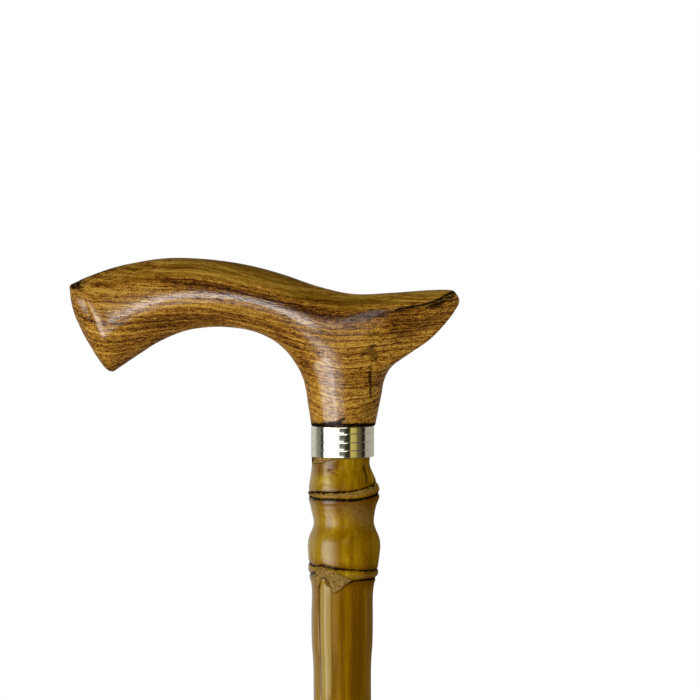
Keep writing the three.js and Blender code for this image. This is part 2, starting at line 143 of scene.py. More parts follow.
def mottle(across: np.ndarray, along: np.ndarray, seed: int, turns: int) -> np.ndarray:
    """Soft random spots about one unit wide.

    Args:
        across: Places in one direction.
        along: Places in the other direction.
        seed: Which spots.
        turns: After how many units the spots repeat across.

    Returns:
        Values from 0 to 1, one for each place.
    """
    rows = 257  # after which the spots repeat along
    table = np.random.default_rng(seed).random((turns, rows))
    column, row = np.floor(across).astype(int), np.floor(along).astype(int)
    u, v = across - column, along - row
    u, v = u * u * (3 - 2 * u), v * v * (3 - 2 * v)

    def spot(right: int, up: int) -> np.ndarray:
        """The table's value at one corner of each place's cell."""
        return table[(column + right) % turns, (row + up) % rows]

    low = spot(0, 0) * (1 - u) + spot(1, 0) * u
    high = spot(0, 1) * (1 - u) + spot(1, 1) * u
    return low * (1 - v) + high * v


@dataclass(frozen=True)
class CloseUp:
    """The photograph's close view, as a camera that looks along +Y and a little down.

    Pixels are counted from the top left corner of the picture.
    """

    target: Place = (0.00915, 0.0, 0.887)
    distance: float = 2.5
    elevation: float = math.radians(2.85)
    lens: float = 0.3601
    sensor: float = 0.036
    picture: float = 700.0

    def axes(self) -> tuple[np.ndarray, np.ndarray, np.ndarray]:
        """The camera's right, up and forward directions."""
        sine, cosine = math.sin(self.elevation), math.cos(self.elevation)
        return np.array([1.0, 0, 0]), np.array([0, sine, cosine]), np.array([0, cosine, -sine])

    def eye(self) -> np.ndarray:
        """Where the camera stands."""
        return np.array(self.target) - self.distance * self.axes()[2]

    def pixels_of(self, places: np.ndarray) -> np.ndarray:
        """Where places in space show in the picture.

        Args:
            places: Points, with x, y and z in the last axis.

        Returns:
            Their pixels, with column and row in the last axis.
        """
        right, up, forward = self.axes()
        seen = places - self.eye()
        scale = self.picture * self.lens / self.sensor / (seen @ forward)
        half = self.picture / 2
        return np.stack([half + seen @ right * scale, half - seen @ up * scale], -1)

    def at_depth(self, pixels: np.ndarray, depth: np.ndarray) -> tuple[np.ndarray, np.ndarray]:
        """Where the sight lines through pixels cross a depth.

        Args:
            pixels: Columns and rows, in the last axis.
            depth: The y at which each sight line is read.

        Returns:
            The x and z of those places.
        """
        right, up, forward = self.axes()
        scale = self.sensor / (self.picture * self.lens)
        half = self.picture / 2
        sight = forward + np.outer((pixels[:, 0] - half) * scale, right)
        sight = sight + np.outer((half - pixels[:, 1]) * scale, up)
        eye = self.eye()
        far = (depth - eye[1]) / sight[:, 1]
        return eye[0] + far * sight[:, 0], eye[2] + far * sight[:, 2]


@dataclass(frozen=True)
class Stroke:
    """A soft mark drawn through pixels of the close view."""

    pixels: Points
    reach: float
    strength: float

    def distance(self, pixels: np.ndarray) -> np.ndarray:
        """How far places lie from the drawn line.

        Args:
            pixels: Columns and rows, in the last axis.

        Returns:
            The distance of each, in pixels.
        """
        drawn = np.array(self.pixels, float)
        nearest = np.full(pixels.shape[:-1], np.inf)
        for start, end in zip(drawn[:-1], drawn[1:]):
            run = end - start
            t = np.clip((pixels - start) @ run / (run @ run), 0, 1)
            nearest = np.minimum(nearest, np.linalg.norm(pixels - start - t[..., None] * run, axis=-1))
        return nearest

    def mark(self, pixels: np.ndarray) -> np.ndarray:
        """How strongly the mark shows at each place."""
        return self.strength * smooth(self.distance(pixels), self.reach, 0)


@dataclass(frozen=True)
class Patch:
    """A filled mark inside an outline of pixels of the close view, with a soft edge."""

    outline: Points
    edge: float
    strength: float

    def mark(self, pixels: np.ndarray) -> np.ndarray:
        """How strongly the patch shows: fully inside, not at all outside.

        Args:
            pixels: Columns and rows, in the last axis.

        Returns:
            Its strength at each place.
        """
        closed = self.outline + self.outline[:1]
        within = np.zeros(pixels.shape[:-1], bool)
        column, row = pixels[..., 0], pixels[..., 1]
        for (x0, y0), (x1, y1) in zip(closed[:-1], closed[1:]):
            if y0 != y1:
                crosses = (row < y0) != (row < y1)
                within ^= crosses & (column < x0 + (row - y0) * (x1 - x0) / (y1 - y0))
        away = Stroke(closed, 1, 1).distance(pixels)
        return self.strength * smooth(np.where(within, away, -away), -self.edge, self.edge)


Marks = tuple[Stroke | Patch, ...]


def strokes(*rows: tuple) -> Marks:
    """Soft marks, each a row of its reach, its strength and the pixels that it runs through."""
    return tuple(Stroke(tuple(pixels), reach, strength) for reach, strength, *pixels in rows)


def patches(*rows: tuple) -> Marks:
    """Filled marks, each a row of its edge's softness, its strength and its outline's pixels."""
    return tuple(Patch(tuple(pixels), edge, strength) for edge, strength, *pixels in rows)


def strongest(marks: Marks, pixels: np.ndarray) -> np.ndarray:
    """The strongest of several marks at each place."""
    return np.max([mark.mark(pixels) for mark in marks], axis=0)


def skin(
    name: str, rings: np.ndarray, ends: tuple[tuple, tuple] | None, paint: Paint
) -> bpy.types.Object:
    """A closed, smooth mesh over rings of equally many points.

    Args:
        name: The new object's name.
        rings: Points by ring and place, with x, y and z in the last axis.
        ends: The two points it closes on, or nothing where its last ring joins its first.
        paint: Named values by ring and place, which the finishes read.

    Returns:
        The object, in the scene.
    """
    rows, columns, _ = rings.shape
    row = np.arange(rows - 1 if ends else rows)[:, None]
    column = np.arange(columns)[None, :]
    here, above, beside = row * columns, (row + 1) % rows * columns, (column + 1) % columns
    quads = np.stack([here + column, here + beside, above + beside, above + column], -1)
    faces = quads.reshape(-1, 4).tolist()
    points = rings.reshape(-1, 3).tolist()
    if ends:
        first, last = len(points), len(points) + 1
        top = (rows - 1) * columns
        points.extend([list(ends[0]), list(ends[1])])
        for i in range(columns):
            j = (i + 1) % columns
            faces.append([first, j, i])
            faces.append([last, top + i, top + j])
    mesh = bpy.data.meshes.new(name)
    mesh.from_pydata(points, [], faces)
    for key, values in paint.items():
        flat = np.zeros(len(points), np.float32)
        flat[: values.size] = values.reshape(-1)
        mesh.attributes.new(key, "FLOAT", "POINT").data.foreach_set("value", flat)
    mesh.shade_smooth()
    made = bpy.data.objects.new(name, mesh)
    bpy.context.scene.collection.objects.link(made)
    return made


def turned(
    name: str, outline: np.ndarray, axis: Place, segments: int, paint: Paint
) -> bpy.types.Object:
    """A turned piece about an upright axis.

    Args:
        name: The new object's name.
        outline: Radius and height of each point, upwards outside. It starts and ends on the
            axis, or else its last point joins its first.
        axis: The point of the axis that heights are measured from.
        segments: How many flats it is turned in.
        paint: Named values along the outline, which the finishes read.

    Returns:
        The object, in the scene.
    """
    turn = np.arange(segments) * (2 * math.pi / segments)
    around = np.stack([np.cos(turn), np.sin(turn)], -1)
    solid = outline[0, 0] == 0
    side = outline[1:-1] if solid else outline
    rings = np.zeros((len(side), segments, 3))
    rings[..., :2] = side[:, 0, None, None] * around
    rings[..., 2] = side[:, 1, None]
    rings += np.array(axis)
    ends = None
    if solid:
        ends = tuple((axis[0], axis[1], axis[2] + height) for height in outline[[0, -1], 1])
    spread = {}
    for key, values in paint.items():
        kept = values[1:-1] if solid else values
        spread[key] = np.repeat(kept[:, None], segments, axis=1)
    return skin(name, rings, ends, spread)


def rounded(outline: np.ndarray, radius: float, steps: int) -> np.ndarray:
    """An outline with its corners rounded, except its two ends.

    Args:
        outline: Its points.
        radius: How far from each corner the rounding starts, where its sides are long enough.
        steps: How many points each rounding gets.

    Returns:
        The rounded outline's points.
    """
    most = 0.45  # the most of a side that one corner may take
    made = [outline[0]]
    for before, corner, after in zip(outline[:-2], outline[1:-1], outline[2:]):
        start, end = (
            corner + side * min(radius / np.linalg.norm(side), most)
            for side in (before - corner, after - corner)
        )
        for t in np.linspace(0, 1, steps):
            made.append((1 - t) ** 2 * start + 2 * t * (1 - t) * corner + t * t * end)
    made.append(outline[-1])
    return np.array(made)


class Graph:
    """The nodes of one material or world, made from left to right."""

    def __init__(self, owner: bpy.types.Material | bpy.types.World) -> None:
        """Starts an empty graph.

        Args:
            owner: The material or world that it belongs to.
        """
        owner.use_nodes = True
        self.owner = owner
        self.tree = owner.node_tree
        self.tree.nodes.clear()

    @classmethod
    def finish(cls, name: str) -> "Graph":
        """The graph of a new material."""
        return cls(bpy.data.materials.new(name))

    def node(self, kind: str, inputs: dict[str | int, Feed] | None = None, **settings) -> bpy.types.Node:
        """A new node.

        Args:
            kind: Its type.
            inputs: What its sockets are fed with, by their name or number.
            settings: Its other settings.

        Returns:
            The node.
        """
        made = self.tree.nodes.new(kind)
        for key, value in settings.items():
            setattr(made, key, value)
        for key, value in (inputs or {}).items():
            self.feed(made.inputs[key], value)
        return made

    def feed(self, socket: Socket, value: Feed) -> None:
        """Links a socket, or sets its value.

        Args:
            socket: The socket.
            value: What feeds it: a socket, a number, a vector or a colour.
        """
        if isinstance(value, Socket):
            self.tree.links.new(value, socket)
        elif isinstance(value, tuple) and socket.type == "RGBA":
            socket.default_value = (*value, 1.0)
        else:
            socket.default_value = value

    def math(self, operation: str, *values: Feed) -> Socket:
        """The result of a sum."""
        return self.node("ShaderNodeMath", dict(enumerate(values)), operation=operation).outputs[0]

    def add(self, *values: Feed) -> Socket:
        """Several values added up."""
        return reduce(lambda total, value: self.math("ADD", total, value), values)

    def times(self, value: Feed, factor: Feed) -> Socket:
        """One value times another."""
        return self.math("MULTIPLY", value, factor)

    def place(self, origin: Place = (0, 0, 0)) -> Socket:
        """The place on the piece, measured from a point of the frame."""
        here = self.node("ShaderNodeTexCoord").outputs["Object"]
        return self.vector("SUBTRACT", here, origin)

    def vector(self, operation: str, first: Feed, second: Feed) -> Socket:
        """The result of a sum of vectors."""
        return self.node("ShaderNodeVectorMath", {0: first, 1: second}, operation=operation).outputs[0]

    def split(self, vector: Socket) -> tuple[Socket, Socket, Socket]:
        """A vector's three parts."""
        made = self.node("ShaderNodeSeparateXYZ", {0: vector})
        return tuple(made.outputs)

    def join(self, x: Feed, y: Feed, z: Feed) -> Socket:
        """A vector of three parts."""
        return self.node("ShaderNodeCombineXYZ", {0: x, 1: y, 2: z}).outputs[0]

    def step(self, value: Feed, low: float, high: float, first: float = 0, last: float = 1) -> Socket:
        """A soft step from one value to another, as a value goes from low to high."""
        inputs = {"Value": value, "From Min": low, "From Max": high, "To Min": first, "To Max": last}
        return self.node("ShaderNodeMapRange", inputs, interpolation_type="SMOOTHSTEP").outputs["Result"]

    def noise(self, place: Socket, per_metre: Place, detail: float = 1, roughness: float = 0.5) -> Socket:
        """Soft random values from 0 to 1.

        Args:
            place: Where it is read.
            per_metre: How many spots fit in a metre, along each axis.
            detail: How many finer layers it gets.
            roughness: How strong the finer layers are.

        Returns:
            The values.
        """
        stretched = self.vector("MULTIPLY", place, per_metre)
        inputs = {"Vector": stretched, "Scale": 1.0, "Detail": detail, "Roughness": roughness}
        return self.node("ShaderNodeTexNoise", inputs).outputs["Fac"]

    def paint(self, name: str) -> Socket:
        """A value painted on the mesh."""
        return self.node("ShaderNodeAttribute", attribute_name=name).outputs["Fac"]

    def mix(self, first: Feed, second: Feed, share: Feed) -> Socket:
        """One colour laid over another by a share."""
        inputs = {0: share, 6: first, 7: second}  # the sockets that mix colours
        return self.node("ShaderNodeMix", inputs, data_type="RGBA", clamp_factor=True).outputs[2]

    def ramp(self, value: Socket, stops: tuple[tuple[float, Colour], ...]) -> Socket:
        """A colour that runs through stops.

        Args:
            value: Where along the stops each place lies.
            stops: Places from 0 to 1, and the colour at each.

        Returns:
            The colour.
        """
        made = self.node("ShaderNodeValToRGB", {0: value})
        elements = made.color_ramp.elements
        while len(elements) < len(stops):
            elements.new(1.0)
        for element, (at, colour) in zip(elements, stops):
            element.position = at
            element.color = (*colour, 1.0)
        return made.outputs["Color"]

    def bump(self, height: Socket, strength: float, distance: float) -> Socket:
        """A normal that follows fine relief."""
        inputs = {"Height": height, "Strength": strength, "Distance": distance}
        return self.node("ShaderNodeBump", inputs).outputs["Normal"]

    def surface(self, **inputs: Feed) -> bpy.types.Material:
        """Closes the graph with one shader over its whole surface.

        Args:
            inputs: The shader's sockets, with underscores for the spaces in their names.

        Returns:
            The finished material.
        """
        named = {key.replace("_", " "): value for key, value in inputs.items()}
        shader = self.node("ShaderNodeBsdfPrincipled", named)
        output = self.node("ShaderNodeOutputMaterial")
        self.tree.links.new(shader.outputs[0], output.inputs["Surface"])
        return self.owner


@dataclass(frozen=True)
class ScorchedBeech:
    """Beech with a scorched figure, under a satin varnish."""

    pale: Colour = linear(188, 146, 60)
    honey: Colour = linear(150, 104, 32)
    brown: Colour = linear(104, 62, 12)
    dark: Colour = linear(44, 20, 2)
    char: Colour = linear(12, 8, 4)
    olive_pale: Colour = linear(172, 134, 48)
    olive: Colour = linear(128, 91, 18)
    olive_brown: Colour = linear(90, 56, 3)
    dip: float = 0.010  # the grain lines fall this far between the grip and the tail
    dip_start: float = -0.058
    dip_end: float = 0.003
    pith: tuple[float, float] = (0.04, -0.2)  # the rings' middle, sideways and up
    ring: float = 0.0022  # from one growth ring to the next

    def material(self, origin: Place) -> bpy.types.Material:
        """Builds the finish.

        Args:
            origin: The crown's height on the handle's axis.

        Returns:
            The finished material.
        """
        g = Graph.finish("scorched_beech")
        place = g.place(origin)
        x, y, z = g.split(place)
        wander = g.noise(place, (16, 40, 40))
        ripple = g.noise(place, (90, 160, 160))
        curl = g.noise(place, (420, 420, 420))
        dip = g.step(x, self.dip_start, self.dip_end, 0, self.dip)
        level = g.add(z, dip, g.times(wander, 0.004), g.times(ripple, 0.0008), g.times(curl, 0.0006))

        aside, up = g.math("SUBTRACT", y, self.pith[0]), g.math("SUBTRACT", level, self.pith[1])
        reach = g.math("SQRT", g.add(g.times(aside, aside), g.times(up, up)))
        grain = g.join(x, y, reach)
        uneven = g.add(g.math("DIVIDE", reach, self.ring), g.noise(grain, (3, 60, 60)))
        phase = g.math("FRACT", uneven)
        late = g.times(g.step(phase, 0.3, 0.9), g.step(phase, 1.0, 0.92))

        bands = g.step(g.noise(grain, (9, 30, 150)), 0.36, 0.64, -1, 1)
        lines = g.step(g.noise(grain, (30, 140, 1400)), 0.36, 0.64, -1, 1)
        strands = g.step(g.noise(grain, (420, 700, 2300), roughness=0.6), 0.4, 0.6, -1, 1)
        flecks = g.step(g.noise(grain, (380, 900, 2400), detail=0), 0.56, 0.7)
        threads = g.step(g.noise(grain, (16, 150, 2500), detail=0), 0.36, 0.64, -1, 1)
        hatch = g.noise(place, (1900, 1700, 2300))

        olive = g.step(g.add(g.paint("olive"), g.times(lines, 0.14)), 0.2, 0.9)
        busy = g.step(olive, 0, 1, 1.0, 0.4)
        fleck = g.times(flecks, g.step(g.paint("pale"), 0, 1, 0.32, 0.12))
        tone = g.add(
            0.33,
            g.times(bands, 0.09),
            g.times(g.times(late, busy), 0.2),
            g.times(lines, 0.12),
            g.times(threads, 0.1),
            g.times(g.times(strands, busy), 0.1),
            g.times(fleck, busy),
            g.times(g.step(hatch, 0.32, 0.68, -0.2, 0.2), busy),
            # Darker under the streaks and the painted shade.
            g.times(g.paint("streak_and_shade"), 0.4),
            # Paler under the pale wood and the painted highlights.
            g.times(g.paint("pale"), -0.2),
        )
        stops = ((0, self.pale), (0.33, self.honey), (0.66, self.brown), (1, self.dark))
        crown = ((0, self.olive_pale), (0.33, self.olive), (0.66, self.olive_brown), (1, self.dark))
        wood = g.mix(g.ramp(tone, stops), g.ramp(tone, crown), olive)
        # Charred wood, and the painted shade of the gap above the collar.
        scorch_and_gap_shade = g.paint("scorch_and_gap_shade")
        edge = g.add(scorch_and_gap_shade, g.times(bands, 0.04), g.times(strands, 0.08), g.times(flecks, 0.1))
        wood = g.mix(wood, self.char, g.step(edge, 0.15, 0.95))
        height = g.add(g.times(flecks, -1.0), g.times(strands, 0.3), g.times(late, 0.3), g.times(hatch, 1.2))
        worn = g.step(g.add(g.times(flecks, 0.4), scorch_and_gap_shade), 0, 1, 1.0, 0.1)
        return g.surface(
            Base_Color=wood,
            Roughness=0.6,
            Normal=g.bump(height, 0.35, 0.00012),
            Specular_IOR_Level=0.0,
            Coat_Weight=g.times(worn, g.step(g.paint("gloss"), 0, 1, 0.22, 1.0)),
            Coat_Roughness=0.15,
            Coat_IOR=1.65,
            Coat_Normal=g.bump(height, 0.12, 0.00012),
        )


@dataclass(frozen=True)
class LacqueredBamboo:
    """Bamboo skin, smoked and lacquered, with charred nodes and bare fibres."""

    straw: Colour = linear(186, 158, 54)
    olive: Colour = linear(142, 110, 4)
    amber: Colour = linear(126, 90, 2)
    brown: Colour = linear(98, 62, 1)
    char: Colour = linear(29, 15, 4)
    fibre: Colour = linear(146, 116, 62)
    fibre_dark: Colour = linear(90, 66, 28)
    blush: Colour = linear(130, 98, 50)
    # The painted highlight's colour.
    rib_highlight: Colour = linear(150, 126, 62)

    def material(self) -> bpy.types.Material:
        """Builds the finish.

        Returns:
            The finished material.
        """
        g = Graph.finish("lacquered_bamboo")
        place = g.place()
        streaks = g.noise(place, (420, 420, 9), detail=3, roughness=0.6)
        fibres = g.noise(place, (2200, 2200, 45), detail=2)
        clouds = g.noise(place, (60, 60, 22), detail=3)
        specks = g.step(g.noise(place, (1500, 1500, 700)), 0.69, 0.76)
        tone = g.add(
            g.paint("tone"),
            g.step(streaks, 0.34, 0.66, -0.15, 0.15),
            g.step(fibres, 0.3, 0.7, -0.08, 0.08),
            g.step(clouds, 0.34, 0.66, -0.08, 0.1),
            g.times(specks, 0.25),
        )
        stops = ((0, self.straw), (0.35, self.olive), (0.62, self.amber), (1, self.brown))
        bark = g.ramp(tone, stops)
        mottled = g.noise(place, (700, 700, 520), detail=3, roughness=0.6)
        stain = g.times(g.paint("blush"), g.step(mottled, 0.35, 0.65, 0.3, 1.0))
        bark = g.mix(bark, self.blush, stain)
        # Painted highlight on the rib, the neck and the left edge.
        bark = g.mix(bark, self.rib_highlight, g.paint("rib_highlight"))
        threads = g.noise(place, (2600, 2600, 1100), detail=2, roughness=0.7)
        torn = g.mix(self.fibre, self.fibre_dark, g.step(threads, 0.42, 0.62))
        bare = g.paint("fibre")
        bark = g.mix(bark, torn, bare)
        burnt = g.add(g.paint("char"), g.times(g.math("SUBTRACT", fibres, 0.5), 0.35))
        bark = g.mix(bark, self.char, g.step(burnt, 0.15, 0.85))
        height = g.add(g.times(fibres, 0.5), g.times(g.times(threads, bare), 3.0), g.times(specks, -0.5))
        return g.surface(
            Base_Color=bark,
            Roughness=0.6,
            Normal=g.bump(height, 0.25, 0.0001),
            Specular_IOR_Level=0.0,
            Coat_Weight=g.times(g.step(g.add(bare, g.times(burnt, 0.6)), 0, 1, 1.0, 0.0), g.paint("gloss")),
            Coat_Roughness=0.18,
            Coat_IOR=1.5,
        )


@dataclass(frozen=True)
class PolishedCollar:
    """Polished, nickel-bright brass with fine turning marks."""

    metal: Colour = (0.86, 0.84, 0.74)
    tarnish: Colour = (0.3, 0.26, 0.16)

    def material(self) -> bpy.types.Material:
        """Builds the finish.

        Returns:
            The finished material.
        """
        g = Graph.finish("polished_collar")
        place = g.place()
        turning = g.noise(place, (25, 25, 9000), detail=2)
        smudge = g.noise(place, (180, 180, 260), detail=3)
        scratches = g.step(g.noise(place, (150, 150, 16000)), 0.66, 0.72)
        groove = g.paint("groove")
        dull = g.add(g.times(groove, 0.8), g.step(smudge, 0.5, 0.8, 0, 0.12))
        height = g.add(turning, g.times(scratches, -0.8))
        return g.surface(
            Base_Color=g.mix(self.metal, self.tarnish, dull),
            Metallic=1.0,
            Roughness=g.add(g.step(smudge, 0.35, 0.7, 0.07, 0.12), g.times(groove, 0.2)),
            Normal=g.bump(height, 0.025, 0.00002),
        )


@dataclass(frozen=True)
class MouldedRubber:
    """Matt black rubber, a little dusty where it wears."""

    rubber: Colour = linear(34, 34, 36)
    worn: Colour = linear(62, 60, 58)
    dust: Colour = linear(104, 99, 90)

    def material(self) -> bpy.types.Material:
        """Builds the finish.

        Returns:
            The finished material.
        """
        g = Graph.finish("moulded_rubber")
        place = g.place()
        grain = g.noise(place, (2600, 2600, 2600), detail=3, roughness=0.6)
        clouds = g.noise(place, (70, 70, 70), detail=4)
        scuffs = g.step(g.noise(place, (260, 260, 900), detail=3, roughness=0.7), 0.58, 0.7)
        wear = g.paint("wear")
        matt = g.mix(self.rubber, self.worn, g.step(g.add(clouds, g.times(wear, 0.4)), 0.45, 0.95))
        dusty = g.times(wear, g.add(g.times(scuffs, 0.6), g.step(grain, 0.4, 0.75, 0.0, 0.35)))
        return g.surface(
            Base_Color=g.mix(matt, self.dust, dusty),
            Roughness=g.step(grain, 0.3, 0.7, 0.62, 0.78),
            Normal=g.bump(g.add(grain, g.times(scuffs, 0.6)), 0.35, 0.0001),
            Specular_IOR_Level=0.4,
        )


@dataclass(frozen=True)
class BareDowel:
    """Turned hardwood dowel without a finish."""

    early: Colour = linear(212, 172, 120)
    late: Colour = linear(164, 116, 68)
    pith: Place = (0, 0.02, 0)
    ring: float = 0.0016  # from one growth ring to the next

    def material(self) -> bpy.types.Material:
        """Builds the finish.

        Returns:
            The finished material.
        """
        g = Graph.finish("bare_dowel")
        place = g.place(self.pith)
        across = g.split(place)[1]
        sway = g.times(g.noise(place, (60, 60, 12), detail=2), 0.002)
        rings = g.math("FRACT", g.math("DIVIDE", g.add(across, sway), self.ring))
        fibres = g.noise(place, (2200, 2200, 120), detail=3)
        pores = g.step(g.noise(place, (5200, 5200, 500)), 0.62, 0.7)
        share = g.add(g.times(rings, 0.45), g.step(fibres, 0.3, 0.7, -0.1, 0.4), g.times(pores, 0.3))
        height = g.add(fibres, g.times(pores, -1.0))
        return g.surface(
            Base_Color=g.mix(self.early, self.late, share),
            Roughness=g.step(fibres, 0.3, 0.7, 0.62, 0.8),
            Normal=g.bump(height, 0.4, 0.0001),
        )


@dataclass(frozen=True)
class PlatedSteel:
    """Zinc-plated steel, cloudy and lightly scratched."""

    zinc: Colour = (0.62, 0.63, 0.64)
    shade: Colour = (0.42, 0.41, 0.38)

    def material(self) -> bpy.types.Material:
        """Builds the finish.

        Returns:
            The finished material.
        """
        g = Graph.finish("plated_steel")
        place = g.place()
        clouds = g.noise(place, (420, 420, 420), detail=4, roughness=0.6)
        lines = g.noise(place, (3200, 260, 6000), detail=2)
        return g.surface(
            Base_Color=g.mix(self.zinc, self.shade, g.step(clouds, 0.4, 0.7)),
            Metallic=1.0,
            Roughness=g.step(clouds, 0.3, 0.7, 0.28, 0.45),
            Normal=g.bump(g.add(lines, clouds), 0.12, 0.00005),
        )


@dataclass(frozen=True)
class Stick:
    """The stick's main places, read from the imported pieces."""

    axis: float  # x of the handle, the collar and the culm's top
    crown: float
    culm_top: float
    shoulder: float
    culm_foot: float
    collar_radius: float
    ferrule_height: float
    sole_radius: float

    @classmethod
    def from_frame(cls) -> "Stick":
        """Reads the places.

        Returns:
            The stick's places.
        """
        collar_low, collar_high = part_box("collar")
        ferrule_low, ferrule_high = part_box("ferrule")
        axis = (collar_low.x + collar_high.x) / 2
        return cls(
            axis=axis,
            crown=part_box("handle")[1].z,
            culm_top=collar_high.z,
            shoulder=collar_low.z,
            culm_foot=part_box("culm")[0].z,
            collar_radius=(collar_high.x - collar_low.x) / 2,
            ferrule_height=ferrule_high.z - ferrule_low.z,
            sole_radius=(ferrule_high.x - ferrule_low.x) / 2,
        )


def settle(
    made: bpy.types.Object, finish: bpy.types.Material, node: str, body: Body
) -> bpy.types.Object:
    """Dresses a piece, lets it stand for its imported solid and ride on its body.

    Args:
        made: The piece.
        finish: Its material.
        node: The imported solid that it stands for.
        body: The body that it moves with.

    Returns:
        The same piece.
    """
    made.data.materials.append(finish)
    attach(made, body.value)
    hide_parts(node)
    return made


